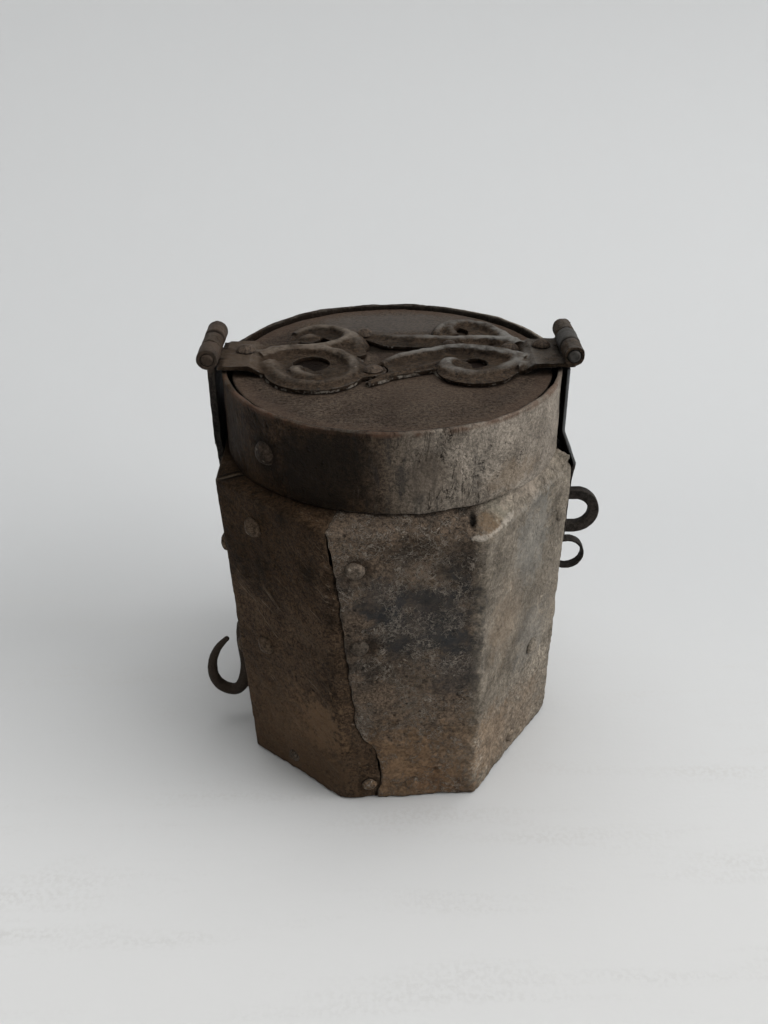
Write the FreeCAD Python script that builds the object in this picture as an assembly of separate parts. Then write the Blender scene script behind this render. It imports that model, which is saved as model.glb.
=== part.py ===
import FreeCAD, Part
import math
import os

# Strongbox of riveted sheet iron: an eight-sided flared body, a round collar and a flat lid
# under two scrolled straps. Millimetres, +Z up, +X toward the hasp, origin under the body.
SHEET = 2.0            # thickness of the body plates
BODY_WIDTH = 162.0     # foot of the body across X
BODY_DEPTH = 172.0     # foot of the body across Y
FLARE = 1.06           # size of the body at FLARE_HEIGHT against its foot
FLARE_HEIGHT = 158.0
LEAN = -2.0            # shift in X of the body's centre at FLARE_HEIGHT
FOLD_HEIGHT = 163.0    # shoulder fold, on the body's axis
FOLD_FALL = 0.075      # drop of the fold for each millimetre toward +X
MITRE = 0.7            # slit between two shoulder flaps
SEAM_LAP = 18.0        # tab behind the seams beside the wide plates
FLAT_LAP = 34.0        # tab behind the seams of the two narrow flats
ANGLE_LEG = 29.0       # legs of the angles inside two corners
ANGLE_BELOW = 8.0      # their upper end below the fold
PAN_HEIGHT = 14.0      # upturned edge of the bottom
PAN_THICK = 2.5
FLAP_DROP = 2.2        # thickness of the shoulder flaps, measured upright
FLAP_TUCK = 0.4        # flaps' inner edge below the collar
FLANGE_HEIGHT = 24.0   # edge of the flaps turned up inside the collar
FLANGE_FIT = 0.06      # between that edge and the collar
TAB_CLEAR = 2.0        # tabs and angles above the bottom's edge
TAB_BELOW = 9.0        # and below the lowest of the fold

RIVET_SHANK = 1.6      # radius of the shanks in the body
RIVET_FIT = 0.05
SEAM_RIVET = 4.0       # radius of the heads
SEAM_DOME = 2.0        # height of the heads
ANGLE_RIVET = 4.6
ANGLE_DOME = 2.6
BOTTOM_RIVET = 3.4
BOTTOM_DOME = 1.6

COLLAR_RADIUS = 80.8
COLLAR_WALL = 2.5
COLLAR_HEIGHT = 39.8
COLLAR_X = -5.4        # the collar stands off the body's axis
COLLAR_RISE = 6.4      # collar's lower edge above the fold
COLLAR_RIVET = 4.8
COLLAR_DOME = 2.7
COLLAR_SHANK = 1.9
COLLAR_RIVET_UP = 18.5

LID_GAP = 1.0          # between lid and collar
LID_DROP = 2.7         # lid's top below the collar's edge
LID_THICK = 2.2
STRAP_THICK = 2.5      # scrolled straps on the lid
SHANK_THICK = 2.8      # the same straps where they cross the collar's edge
SHANK_GAP = 0.5        # between the shanks and the collar's edge
SHANK_WIDTH = 33.0
STRAP_ROOM = 0.4       # between the ends of the two scrolled straps
LID_SHANK = 1.7        # radius of the lid rivets' shanks

LEAF_BACK = 2.2        # inner face of the hinge leaf, inside its hinge axis
LEAF_WIDTH = 30.0
LEAF_THICK = 3.4
LEAF_TURN = 2.0        # the leaf turns out above the collar's lower edge
LEAF_CLEAR = 0.5       # passes the fold
LEAF_BEND = 16.0       # and lies on the flat from here below the fold
LEAF_LENGTH = 58.0     # to here
LEAF_RIVET = 3.8
LEAF_DOME = 2.2
LEAF_EDGE = 8.0        # leaf rivets from the bend and the end

LEFT_OUT = 5.4         # left hinge axis outside the collar
RIGHT_OUT = 3.8        # right hinge axis outside the collar
BARREL_RISE = 7.6      # both axes above the collar's edge
BARREL_RADIUS = 5.1
BARREL_LENGTH = 39.0
KNUCKLE_GAP = 0.35
PIN_RADIUS = 3.0
PIN_PLAY = 0.05
PIN_PROUD = 0.8        # pin ends outside the barrel
PIN_BEVEL = 0.7

STAPLE_BAR = 2.8       # half the thickness of the staple's square bar
STAPLE_HALF = 2.5      # half its width
STAPLE_BELOW = 30.0    # upper leg below the fold
STAPLE_OPEN = 20.0     # between the legs' middles
STAPLE_REACH = 20.0
STAPLE_CLINCH = 1.2    # legs' ends inside the plate
HASP_BACK = 2.0        # inner face of the hasp, inside its hinge axis
HASP_WIDTH = 30.0      # above the shoulder
TINE_WIDTH = 5.5       # its two tines, one on each side of the staple
HASP_THICK = 1.6
HASP_CLEAR = 0.35      # between the hasp and the body
SLOT_SIDE = 1.5        # slot beside the staple
SLOT_OVER = 4.0        # slot's top above the staple
TINE_UNDER = 1.0       # short tine's end below the staple
CURL_BELOW = 71.0      # middle of the long tine's curl below the fold
CURL_OUT = 7.2         # and outside the flat
CURL_RADIUS = 9.5

HOOK_NECK = 2.8        # radius of the hook's bar at the palm
HOOK_TIP = 1.5         # at its tip
HOOK_BAR = 3.2
HOOK_REACH = 19.4      # out from the flat, to the bar's middle
HOOK_DROP = 40.5       # below the palm, to the bar's middle
PALM_LOW = 60.0
PALM_HEIGHT = 24.0
PALM_WIDTH = 10.0
PALM_THICK = 2.4
PALM_CLEAR = 0.5       # beside the hinge leaf
HOOK_RIVET = 4.2
HOOK_DOME = 2.4

V = FreeCAD.Vector
UP = V(0, 0, 1)

# Feet of the corners, from the left front one round to the right; the rear half mirrors the front.
HALF = [(-1.0, -0.523), (-0.389, -1.0), (0.438, -0.954), (1.0, -0.18)]
FEET = [(x * BODY_WIDTH / 2, y * BODY_DEPTH / 2) for x, y in HALF]
FEET = FEET + [(x, -y) for x, y in reversed(FEET)]

COLLAR_BOTTOM = FOLD_HEIGHT + COLLAR_RISE
COLLAR_TOP = COLLAR_BOTTOM + COLLAR_HEIGHT
COLLAR_INNER = COLLAR_RADIUS - COLLAR_WALL
LID_RADIUS = COLLAR_INNER - LID_GAP
LID_TOP = COLLAR_TOP - LID_DROP
LEFT_X = COLLAR_X - COLLAR_RADIUS - LEFT_OUT
RIGHT_X = COLLAR_X + COLLAR_RADIUS + RIGHT_OUT
BARREL_Z = COLLAR_TOP + BARREL_RISE
SHANK_BOTTOM = COLLAR_TOP + SHANK_GAP
SHANK_TOP = SHANK_BOTTOM + SHANK_THICK
FLANGE_OUT = COLLAR_INNER - FLANGE_FIT
FLANGE_IN = FLANGE_OUT - SHEET

nodes = {}


def corner(i, z):
    # Outer corner of the body at a height.
    x, y = FEET[i % 8]
    part = z / FLARE_HEIGHT
    size = 1 + (FLARE - 1) * part
    return x * size + LEAN * part, y * size


def side_line(i, inset, z):
    # Line of one side at a height, moved inward: a point on it and its direction.
    x0, y0 = corner(i, z)
    x1, y1 = corner(i + 1, z)
    length = math.hypot(x1 - x0, y1 - y0)
    dx = (x1 - x0) / length
    dy = (y1 - y0) / length
    return x0 - dy * inset, y0 + dx * inset, dx, dy, length


def meet(i, inset_i, j, inset_j, z):
    # Crossing of two sides' lines.
    px, py, dx, dy, _ = side_line(i, inset_i, z)
    qx, qy, ex, ey, _ = side_line(j, inset_j, z)
    step = ((qx - px) * ey - (qy - py) * ex) / (dx * ey - dy * ex)
    return V(px + dx * step, py + dy * step, z)


def beside(i, inset, distance, z):
    # Point along a side: from its first corner, or back from its last one when negative.
    px, py, dx, dy, length = side_line(i, inset, z)
    if distance < 0:
        distance = length + distance
    return V(px + dx * distance, py + dy * distance, z)


def side_normal(i):
    # Outward direction of a side.
    low = beside(i, 0, 0.001, 0)
    along = beside(i, 0, 10, 0) - low
    rise = beside(i, 0, 0.001, 100) - low
    out = along.cross(rise)
    out.normalize()
    return out


def flat_faced(low, high):
    # Solid between two outlines with the same number of points.
    faces = [Part.Face(Part.makePolygon(ring + ring[:1])) for ring in (low, high)]
    for k in range(len(low)):
        m = (k + 1) % len(low)
        faces.append(Part.Face(Part.makePolygon([low[k], low[m], high[m], high[k], low[k]])))
    solid = Part.makeSolid(Part.makeShell(faces))
    if solid.Volume < 0:
        solid.reverse()
    return solid


def sheet_of(outline, z0, z1):
    # Sheet following the flare of the body.
    return flat_faced(outline(z0), outline(z1))


def fold_point(i):
    # Where a corner reaches the shoulder fold.
    x0, _ = corner(i, 0)
    x1, _ = corner(i, FLARE_HEIGHT)
    part = (FOLD_HEIGHT - FOLD_FALL * x0) / (FLARE_HEIGHT + FOLD_FALL * (x1 - x0))
    x, y = corner(i, part * FLARE_HEIGHT)
    return V(x, y, part * FLARE_HEIGHT)


def round_point(radius, angle, z):
    # Point on a circle about the collar's axis.
    return V(COLLAR_X + radius * math.cos(angle), radius * math.sin(angle), z)


def flap_angles(i):
    # Span of one shoulder flap about the collar's axis.
    a = fold_point(i)
    b = fold_point(i + 1)
    start = math.atan2(a.y, a.x - COLLAR_X) + MITRE / 2 / COLLAR_RADIUS
    end = math.atan2(b.y, b.x - COLLAR_X) - MITRE / 2 / COLLAR_RADIUS
    if end < start:
        end += 2 * math.pi
    return start, end


def flap(i):
    # Shoulder flap from a side's fold up to the collar, with the edge turned up inside it.
    a = fold_point(i)
    b = fold_point(i + 1)
    along = b - a
    along.normalize()
    start, end = flap_angles(i)
    z = COLLAR_BOTTOM - FLAP_TUCK
    turn = [start, (start + end) / 2, end]
    reach = [round_point(FLANGE_OUT - SHEET / 2, angle, z) for angle in turn]
    fold = Part.makeLine(a + along * (MITRE / 2), b - along * (MITRE / 2))
    slope = Part.makeRuledSurface(fold, Part.Arc(reach[0], reach[1], reach[2]).toShape())
    slope = slope.extrude(V(0, 0, -FLAP_DROP))
    inset = SHEET / 7
    base = V(COLLAR_X, 0, z - FLAP_DROP + inset)
    span = math.degrees(end - start - 2 * inset / COLLAR_RADIUS)
    edge = Part.makeCylinder(FLANGE_OUT, FLANGE_HEIGHT, base, UP, span)
    edge = edge.cut(Part.makeCylinder(FLANGE_IN, FLANGE_HEIGHT, base, UP))
    edge.rotate(base, UP, math.degrees(start + inset / COLLAR_RADIUS))
    return slope.fuse(edge)


def rivet(point, normal, radius, height, shank, length):
    # Dome-headed rivet: the head stands on the point, the shank runs inward.
    ball = (radius * radius + height * height) / (2 * height)
    half = math.asin(radius / ball) / 2
    crown = V(ball * math.sin(half), 0, height - ball + ball * math.cos(half))
    arc = Part.Arc(V(0, 0, height), crown, V(radius, 0, 0)).toShape()
    rest = Part.makePolygon([
        V(radius, 0, 0), V(shank, 0, 0), V(shank, 0, -length), V(0, 0, -length), V(0, 0, height)])
    solid = Part.Face(Part.Wire([arc] + rest.Edges)).revolve(V(0, 0, 0), UP, 360)
    solid.Placement = FreeCAD.Placement(point, FreeCAD.Rotation(UP, normal))
    return solid


def hole(point, normal, shank, length):
    # Clearance for a rivet's shank.
    return Part.makeCylinder(shank + RIVET_FIT, length + 2, point + normal, normal * -1)


def side_rivets(places, radius, height):
    # Rivets on the body's sides: side, distance along it, height. Returns rivets and their holes.
    solids = []
    holes = []
    for i, distance, z in places:
        point = beside(i, 0, distance, z)
        normal = side_normal(i)
        solids.append(rivet(point, normal, radius, height, RIVET_SHANK, 2 * SHEET))
        holes.append(hole(point, normal, RIVET_SHANK, 2 * SHEET))
    return Part.makeCompound(solids), Part.makeCompound(holes)


# Space above the shoulder fold, used to trim the walls.
above = Part.makeBox(600, 600, 200, V(-300, -300, 0))
above.rotate(V(0, 0, 0), V(0, 1, 0), math.degrees(math.atan(FOLD_FALL)))
above.translate(V(0, 0, FOLD_HEIGHT))
WALL_END = FOLD_HEIGHT + FOLD_FALL * BODY_WIDTH
TAB_START = PAN_HEIGHT + TAB_CLEAR
TAB_END = FOLD_HEIGHT - FOLD_FALL * BODY_WIDTH / 2 - TAB_BELOW


def wall(outline):
    # Wall sheet from the foot to the fold.
    return sheet_of(outline, 0, WALL_END).cut(above)


def mirrored(shape):
    # The same piece on the rear half.
    return shape.mirror(V(0, 0, 0), V(0, 1, 0))


def wide_plate():
    # Two sides bent from one sheet, lying outside at both seams.
    t = SHEET
    body = wall(lambda z: [
        meet(1, 0, 0, 0, z), meet(1, 0, 2, 0, z), meet(2, 0, 3, 0, z),
        meet(2, t, 3, 0, z), meet(1, t, 2, t, z), meet(1, t, 0, 0, z)])
    return body.fuse([flap(1), flap(2)])


def lapped_plate():
    # One side with a tab tucked behind the wide plate.
    t = SHEET
    body = wall(lambda z: [
        meet(0, 0, 7, 0, z), meet(0, 0, 1, t, z),
        meet(0, t, 1, t, z), meet(0, t, 7, 0, z)])
    tab = sheet_of(lambda z: [
        meet(0, 0, 1, t, z), beside(1, t, SEAM_LAP, z),
        beside(1, 2 * t, SEAM_LAP, z), meet(0, t, 1, 2 * t, z)], TAB_START, TAB_END)
    return body.fuse([tab, flap(0)])


def left_plate():
    # Broad flat on the hinge side, butting behind the plates beside it.
    t = SHEET
    body = wall(lambda z: [
        meet(7, 0, 6, t, z), meet(7, 0, 0, t, z),
        meet(7, t, 0, t, z), meet(7, t, 6, t, z)])
    return body.fuse(flap(7))


def right_plate():
    # Narrow flat on the hasp side, with a tab behind each wide plate.
    t = SHEET
    body = wall(lambda z: [
        meet(3, 0, 2, t, z), meet(3, 0, 4, t, z),
        meet(3, t, 4, t, z), meet(3, t, 2, t, z)])
    tab = sheet_of(lambda z: [
        meet(3, 0, 2, t, z), beside(2, t, -FLAT_LAP, z),
        beside(2, 2 * t, -FLAT_LAP, z), meet(3, t, 2, 2 * t, z)], TAB_START, TAB_END)
    return body.fuse([tab, mirrored(tab), flap(3)])


def corner_angle():
    # Angle strip inside the corner where the left plate butts on the next one.
    t = SHEET
    return sheet_of(lambda z: [
        beside(7, t, -ANGLE_LEG, z), meet(7, t, 0, t, z), beside(0, t, ANGLE_LEG, z),
        beside(0, 2 * t, ANGLE_LEG, z), meet(7, 2 * t, 0, 2 * t, z),
        beside(7, 2 * t, -ANGLE_LEG, z)], TAB_START, fold_point(0).z - ANGLE_BELOW)


# Six body plates and the two corner angles.
nodes["plate_front"] = wide_plate()
nodes["plate_rear"] = mirrored(nodes["plate_front"])
nodes["plate_left_front"] = lapped_plate()
nodes["plate_left_rear"] = mirrored(nodes["plate_left_front"])
nodes["plate_right"] = right_plate()
nodes["plate_left"] = left_plate()
nodes["corner_angle_front"] = corner_angle()
nodes["corner_angle_rear"] = mirrored(nodes["corner_angle_front"])


# Bottom: a shallow pan with its edge turned up inside the plates.
def inside(inset, z0, z1):
    # The body's plan moved inward, between two heights.
    return sheet_of(lambda z: [meet(i, inset, i + 7, inset, z) for i in range(8)], z0, z1)


pan_hollow = inside(2 * SHEET, PAN_THICK, PAN_HEIGHT + 1)
nodes["bottom_plate"] = inside(SHEET, 0, PAN_HEIGHT).cut(pan_hollow)

# Collar band standing on the shoulder.
collar = Part.makeCylinder(COLLAR_RADIUS, COLLAR_HEIGHT, V(COLLAR_X, 0, COLLAR_BOTTOM), UP)
collar = collar.cut(Part.makeCylinder(COLLAR_INNER, COLLAR_HEIGHT, V(COLLAR_X, 0, COLLAR_BOTTOM), UP))
nodes["collar_band"] = collar

# Rivets of the plate seams, the angles and the bottom, each through two sheets. Heights are
# taken down from the fold, and distances from the edges of the tabs and legs they hold.
lap = SEAM_LAP - 6
low = PAN_HEIGHT - 3
rivet_groups = {
    "seam_rivets": side_rivets([
        (1, lap, FOLD_HEIGHT - 17), (1, lap, FOLD_HEIGHT - 61),
        (2, -9, FOLD_HEIGHT - 28), (2, 7 - FLAT_LAP, FOLD_HEIGHT - 101)], SEAM_RIVET, SEAM_DOME),
    "angle_rivets": side_rivets([
        (7, -7, FOLD_HEIGHT - 32), (7, -7, FOLD_HEIGHT - 96),
        (0, ANGLE_LEG - 7, FOLD_HEIGHT - 11.5), (0, ANGLE_LEG - 9.5, FOLD_HEIGHT - 82)],
        ANGLE_RIVET, ANGLE_DOME),
    "bottom_rivets": side_rivets([
        (0, 30, low), (1, 13, low), (1, 35, low), (2, 38, low), (7, -30, low)], BOTTOM_RIVET, BOTTOM_DOME),
}
side_holes = []
for name, (heads, gaps) in rivet_groups.items():
    nodes[name + "_front"] = heads
    nodes[name + "_rear"] = mirrored(heads)
    side_holes = side_holes + [gaps, mirrored(gaps)]

# Collar rivets, through the collar and the flaps' upturned edges.
COLLAR_SEAT = COLLAR_RADIUS - math.sqrt(COLLAR_RADIUS ** 2 - COLLAR_RIVET ** 2)
collar_rivets = []
for degrees in (-135, 135, 90, 45):
    angle = math.radians(degrees)
    seat = COLLAR_RADIUS - COLLAR_SEAT
    point = round_point(seat, angle, COLLAR_BOTTOM + COLLAR_RIVET_UP)
    normal = V(math.cos(angle), math.sin(angle), 0)
    collar_rivets.append(rivet(point, normal, COLLAR_RIVET, COLLAR_DOME, COLLAR_SHANK, seat - FLANGE_IN))
    side_holes.append(hole(point, normal, COLLAR_SHANK, seat - FLANGE_IN))
    side_holes.append(Part.makeCylinder(COLLAR_RIVET + RIVET_FIT, COLLAR_WALL, point, normal))
nodes["collar_rivets"] = Part.makeCompound(collar_rivets)


def box(x0, x1, y0, y1, z0, z1):
    return Part.makeBox(x1 - x0, y1 - y0, z1 - z0, V(x0, y0, z0))


def profile(points, y0, y1):
    # Side profile in X and Z, given a width along Y.
    loop = [V(x, y0, z) for x, z in points]
    return Part.Face(Part.makePolygon(loop + loop[:1])).extrude(V(0, y1 - y0, 0))


# Barrel lengths: two outer knuckles and one middle knuckle.
BARREL_END = BARREL_LENGTH / 2
MIDDLE = BARREL_LENGTH / 6
OUTER = MIDDLE + KNUCKLE_GAP


def rod(radius, x, z, y0, y1):
    # Round bar along Y.
    return Part.makeCylinder(radius, y1 - y0, V(x, y0, z), V(0, 1, 0))


def knuckle(x, y0, y1):
    return rod(BARREL_RADIUS, x, BARREL_Z, y0, y1)


def bore(x):
    return rod(PIN_RADIUS + PIN_PLAY, x, BARREL_Z, -BARREL_END - 1, BARREL_END + 1)


def hinge_pin(x):
    # Pin with its ends peened a little proud of the barrel.
    pin = rod(PIN_RADIUS, x, BARREL_Z, -BARREL_END - PIN_PROUD, BARREL_END + PIN_PROUD)
    ends = [e for e in pin.Edges if isinstance(e.Curve, Part.Circle)]
    return pin.makeChamfer(PIN_BEVEL, ends)


def swept_bar(points, radius):
    # Round bar bent along a smooth line, with rounded ends.
    curve = Part.BSplineCurve()
    curve.interpolate(points)
    path = Part.Wire([curve.toShape()])
    ring = Part.Wire([Part.Circle(points[0], curve.tangent(curve.FirstParameter)[0], radius).toShape()])
    bar = path.makePipeShell([ring], True, False)
    return bar.fuse([Part.makeSphere(radius, points[0]), Part.makeSphere(radius, points[-1])])


def flat_x(i, z):
    # X of a narrow flat's outer face at a height.
    return corner(i, z)[0]


# Hinge leaf: down from the left barrel past the collar, then along the left flat.
leaf_in = LEFT_X + LEAF_BACK
leaf_out = leaf_in - LEAF_THICK
side_top = BARREL_Z - BARREL_RADIUS - SHANK_THICK
bend = FOLD_HEIGHT - LEAF_BEND
leaf_end = FOLD_HEIGHT - LEAF_LENGTH
turn = COLLAR_BOTTOM + LEAF_TURN
leaf_spine = [
    (leaf_in, side_top), (leaf_in, turn), (fold_point(0).x - LEAF_CLEAR, fold_point(0).z),
    (flat_x(0, bend), bend), (flat_x(0, leaf_end), leaf_end)]
leaf_outside = [(x - LEAF_THICK, z) for x, z in reversed(leaf_spine)]
leaf = profile(leaf_spine + leaf_outside, -LEAF_WIDTH / 2, LEAF_WIDTH / 2)
horn = knuckle(LEFT_X, OUTER, BARREL_END)
horn = horn.fuse(box(leaf_out, leaf_in, OUTER, LEAF_WIDTH / 2, side_top - 1, BARREL_Z))
leaf = leaf.fuse([horn, mirrored(horn)]).cut(bore(LEFT_X))
leaf_normal = side_normal(7)
leaf_rivets = []
for side in (-1, 1):
    for z in (bend - LEAF_EDGE, leaf_end + LEAF_EDGE):
        point = V(flat_x(0, z), side * LEAF_WIDTH / 4, z) + leaf_normal * LEAF_THICK
        length = LEAF_THICK + SHEET
        leaf_rivets.append(rivet(point, leaf_normal, LEAF_RIVET, LEAF_DOME, RIVET_SHANK, length))
        gap = hole(point, leaf_normal, RIVET_SHANK, length)
        leaf = leaf.cut(gap)
        side_holes.append(gap)
nodes["hinge_leaf"] = leaf
nodes["hinge_leaf_rivets"] = Part.makeCompound(leaf_rivets)
nodes["hinge_pin"] = hinge_pin(LEFT_X)

# Side hook: a bar bent into an open loop on a flat palm riveted to the left flat.
palm_high = PALM_LOW + PALM_HEIGHT
hook_y = -LEAF_WIDTH / 2 - PALM_CLEAR - PALM_WIDTH / 2
palm = profile([
    (flat_x(0, PALM_LOW), PALM_LOW), (flat_x(0, palm_high), palm_high),
    (flat_x(0, palm_high) - PALM_THICK, palm_high), (flat_x(0, PALM_LOW) - PALM_THICK, PALM_LOW)],
    hook_y - PALM_WIDTH / 2, hook_y + PALM_WIDTH / 2)
hook_x = flat_x(0, PALM_LOW) - HOOK_BAR
bends = [
    (0.025, -0.12), (0.025, 0.37), (0.075, 0.765), (0.4, 1.0),
    (0.825, 0.914), (1.0, 0.642), (0.85, 0.346), (0.5, 0.123)]
hook_line = [V(hook_x - out * HOOK_REACH, hook_y, PALM_LOW - down * HOOK_DROP) for out, down in bends]
hook_curve = Part.BSplineCurve()
hook_curve.interpolate(hook_line)
rings = []
for point, radius in ((hook_line[0], HOOK_NECK), (hook_line[4], HOOK_BAR), (hook_line[-1], HOOK_TIP)):
    heading = hook_curve.tangent(hook_curve.parameter(point))[0]
    rings.append(Part.Wire([Part.Circle(point, heading, radius).toShape()]))
hook = Part.Wire([hook_curve.toShape()]).makePipeShell(rings, True, False)
hook = hook.fuse([palm, Part.makeSphere(HOOK_NECK, hook_line[0]), Part.makeSphere(HOOK_TIP, hook_line[-1])])
hook_z = PALM_LOW + PALM_HEIGHT * 0.625
hook_point = V(flat_x(0, hook_z) - PALM_THICK, hook_y, hook_z)
hook_length = PALM_THICK + 2 * SHEET
hook_gap = hole(hook_point, leaf_normal, RIVET_SHANK, hook_length)
nodes["side_hook"] = hook.cut(hook_gap)
nodes["hook_rivet"] = rivet(hook_point, leaf_normal, HOOK_RIVET, HOOK_DOME, RIVET_SHANK, hook_length)
side_holes.append(hook_gap)

# Lock staple: a bent bar with both legs through the right flat.
STAPLE_TOP = FOLD_HEIGHT - STAPLE_BELOW
STAPLE_BOTTOM = STAPLE_TOP - STAPLE_OPEN
staple_middle = (STAPLE_TOP + STAPLE_BOTTOM) / 2
staple_x = flat_x(3, staple_middle)
staple_leg = staple_x + STAPLE_REACH - STAPLE_BAR - STAPLE_OPEN / 2
staple_start = staple_x - SHEET - STAPLE_CLINCH
upper = V(staple_leg, 0, STAPLE_TOP)
outer = V(staple_leg + STAPLE_OPEN / 2, 0, staple_middle)
lower = V(staple_leg, 0, STAPLE_BOTTOM)
path = Part.Wire([
    Part.makeLine(V(staple_start, 0, STAPLE_TOP), upper),
    Part.Arc(upper, outer, lower).toShape(),
    Part.makeLine(lower, V(staple_start, 0, STAPLE_BOTTOM))])
section = []
for y, z in ((-1, -1), (1, -1), (1, 1), (-1, 1), (-1, -1)):
    section.append(V(staple_start, y * STAPLE_HALF, STAPLE_TOP + z * STAPLE_BAR))
nodes["lock_staple"] = path.makePipeShell([Part.makePolygon(section)], True, False)
wide = STAPLE_HALF + RIVET_FIT
high = STAPLE_BAR + RIVET_FIT
for z in (STAPLE_TOP, STAPLE_BOTTOM):
    side_holes.append(box(staple_start - 1, staple_x + SHEET, -wide, wide, z - high, z + high))

# Rivet and staple holes through the body's sheets.
holes = Part.makeCompound(side_holes)
for name in list(nodes):
    if name.startswith("plate_") or name.startswith("corner_") or name in ("bottom_plate", "collar_band"):
        nodes[name] = nodes[name].cut(holes)

# Lid: a flat disc dropped into the collar.
lid = Part.makeCylinder(LID_RADIUS, LID_THICK, V(COLLAR_X, 0, LID_TOP - LID_THICK), UP)

# Plan of the scrolled straps, drawn on the lid about the collar's axis.
PLAN = LID_RADIUS / 76.5
STRAP_TOP = LID_TOP + STRAP_THICK


def on_lid(x, y, z):
    return V(COLLAR_X + x * PLAN, y * PLAN, z)


def spot(x, y, radius):
    # Round patch of the strap's sheet.
    return Part.makeCylinder(radius * PLAN, STRAP_THICK, on_lid(x, y, LID_TOP), UP)


def blade(x0, y0, r0, x1, y1, r1):
    # Tapered blade of sheet with round ends.
    a = on_lid(x0, y0, LID_TOP)
    b = on_lid(x1, y1, LID_TOP)
    heading = math.atan2(b.y - a.y, b.x - a.x)
    lean = math.acos((r0 - r1) * PLAN / a.distanceToPoint(b))
    loop = []
    for centre, radius, turn in ((a, r0, lean), (b, r1, lean), (b, r1, -lean), (a, r0, -lean)):
        reach = radius * PLAN
        loop.append(centre + V(reach * math.cos(heading + turn), reach * math.sin(heading + turn), 0))
    web = Part.Face(Part.makePolygon(loop + loop[:1])).extrude(V(0, 0, STRAP_THICK))
    return web.fuse([spot(x0, y0, r0), spot(x1, y1, r1)])


def ridge(points, radius):
    # Raised rib chased along a scroll.
    return swept_bar([on_lid(x, y, STRAP_TOP) for x, y in points], radius)


def knob(x, y, radius, height):
    # Domed end of a scroll.
    ball = (radius * radius + height * height) / (2 * height)
    dome = Part.makeSphere(ball, on_lid(x, y, STRAP_TOP + height - ball))
    return dome.common(Part.makeCylinder(radius + 1, height + STRAP_THICK, on_lid(x, y, LID_TOP), UP))


def shank(sign, hinge_x, inner, tongue_y):
    # Strap from the scrolls up over the collar's edge, with tongues reaching under its knuckles.
    step = COLLAR_X + sign * (LID_RADIUS - 9)
    climb = step - sign * 6
    end = hinge_x - sign * 6
    start = COLLAR_X + sign * inner * PLAN
    solid = profile([
        (start, LID_TOP), (climb, LID_TOP), (step, SHANK_BOTTOM), (end, SHANK_BOTTOM),
        (end, SHANK_TOP), (step - sign * 1, SHANK_TOP), (climb - sign * 1, STRAP_TOP), (start, STRAP_TOP)],
        -SHANK_WIDTH / 2, SHANK_WIDTH / 2)
    for y0, y1 in tongue_y:
        x0, x1 = sorted((end - sign * 1, hinge_x + sign * 2))
        solid = solid.fuse(box(x0, x1, y0, y1, SHANK_BOTTOM, SHANK_TOP))
    return solid


# Left scrolled strap: two volutes, the front one with a tongue that meets the other strap.
left = shank(-1, LEFT_X, 50, [(-MIDDLE, MIDDLE)])
left = left.fuse([
    spot(-36, -12, 24.5), spot(-33.5, 25, 17.5), blade(-24, -14, 11, -9, -14, 6.5),
    blade(-24, 20, 9, -16, 8, 4), knuckle(LEFT_X, -MIDDLE, MIDDLE)])
front_eye = spot(-38.5, -5.5, 8.5).cut(spot(-43, -14.5, 6))
back_eye = spot(-38.5, 21.5, 8).cut(spot(-42, 28, 6.5))
left = left.cut([front_eye, back_eye, bore(LEFT_X)])
left = left.fuse([
    ridge([
        (-62, 4), (-52, 8.5), (-36, 10), (-21, 2.5), (-15.5, -12),
        (-22, -26), (-35, -31.5), (-47, -27), (-50, -19), (-44, -15)], 2.3),
    ridge([(-17, 8), (-16.5, 18), (-20, 30), (-28, 38), (-38, 39.5), (-47, 35), (-48.5, 29)], 2.2),
    knob(-43, -15, 5.6, 3.2), knob(-43, 28.5, 5.8, 3.0)])

# Right scrolled strap: two volutes curling back and two tendrils reaching across the lid.
right = shank(1, RIGHT_X, 44, [(-SHANK_WIDTH / 2, -OUTER), (OUTER, SHANK_WIDTH / 2)])
right = right.fuse([
    spot(39, -12, 18.5), spot(38, 31, 16.5), blade(42, 6, 10, -5, -13, 9),
    blade(42, 18, 6, 0, 23, 7.5), blade(0, 23, 7.5, -13.5, 32, 5),
    knuckle(RIGHT_X, -BARREL_END, -OUTER), knuckle(RIGHT_X, OUTER, BARREL_END)])
front_hollow = spot(39.5, -6.5, 5.5).cut(spot(31, -10, 7))
back_hollow = spot(32, 34, 7).cut(spot(27, 28, 5.5))
room = STRAP_ROOM / PLAN
beside_left = [
    blade(-24, -14, 11 + room, -9, -14, 6.5 + room), blade(-24, 20, 9 + room, -16, 8, 4 + room),
    spot(-33.5, 25, 17.5 + room), spot(-36, -12, 24.5 + room)]
right = right.cut([front_hollow, back_hollow, bore(RIGHT_X)] + beside_left)
right = right.fuse([
    ridge([
        (62, -10), (56, -18), (48, -26.5), (38, -28.5),
        (27.5, -25), (22.8, -16), (26, -8), (31, -8)], 2.2),
    ridge([(54, 6), (51, -2), (48.5, -10), (42, -15), (35, -13)], 2.0),
    ridge([(48, 11), (30, 11), (12, 5.5), (0, -2)], 2.0),
    ridge([
        (62, 16), (55, 27), (50, 38), (41, 45),
        (31, 44), (24, 37), (23.5, 29), (28, 27)], 2.2),
    ridge([(40, 22), (22, 24), (4, 28)], 1.8),
    knob(30, -9, 5.2, 3.2), knob(27.5, 28, 5.0, 3.0)])

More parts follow.
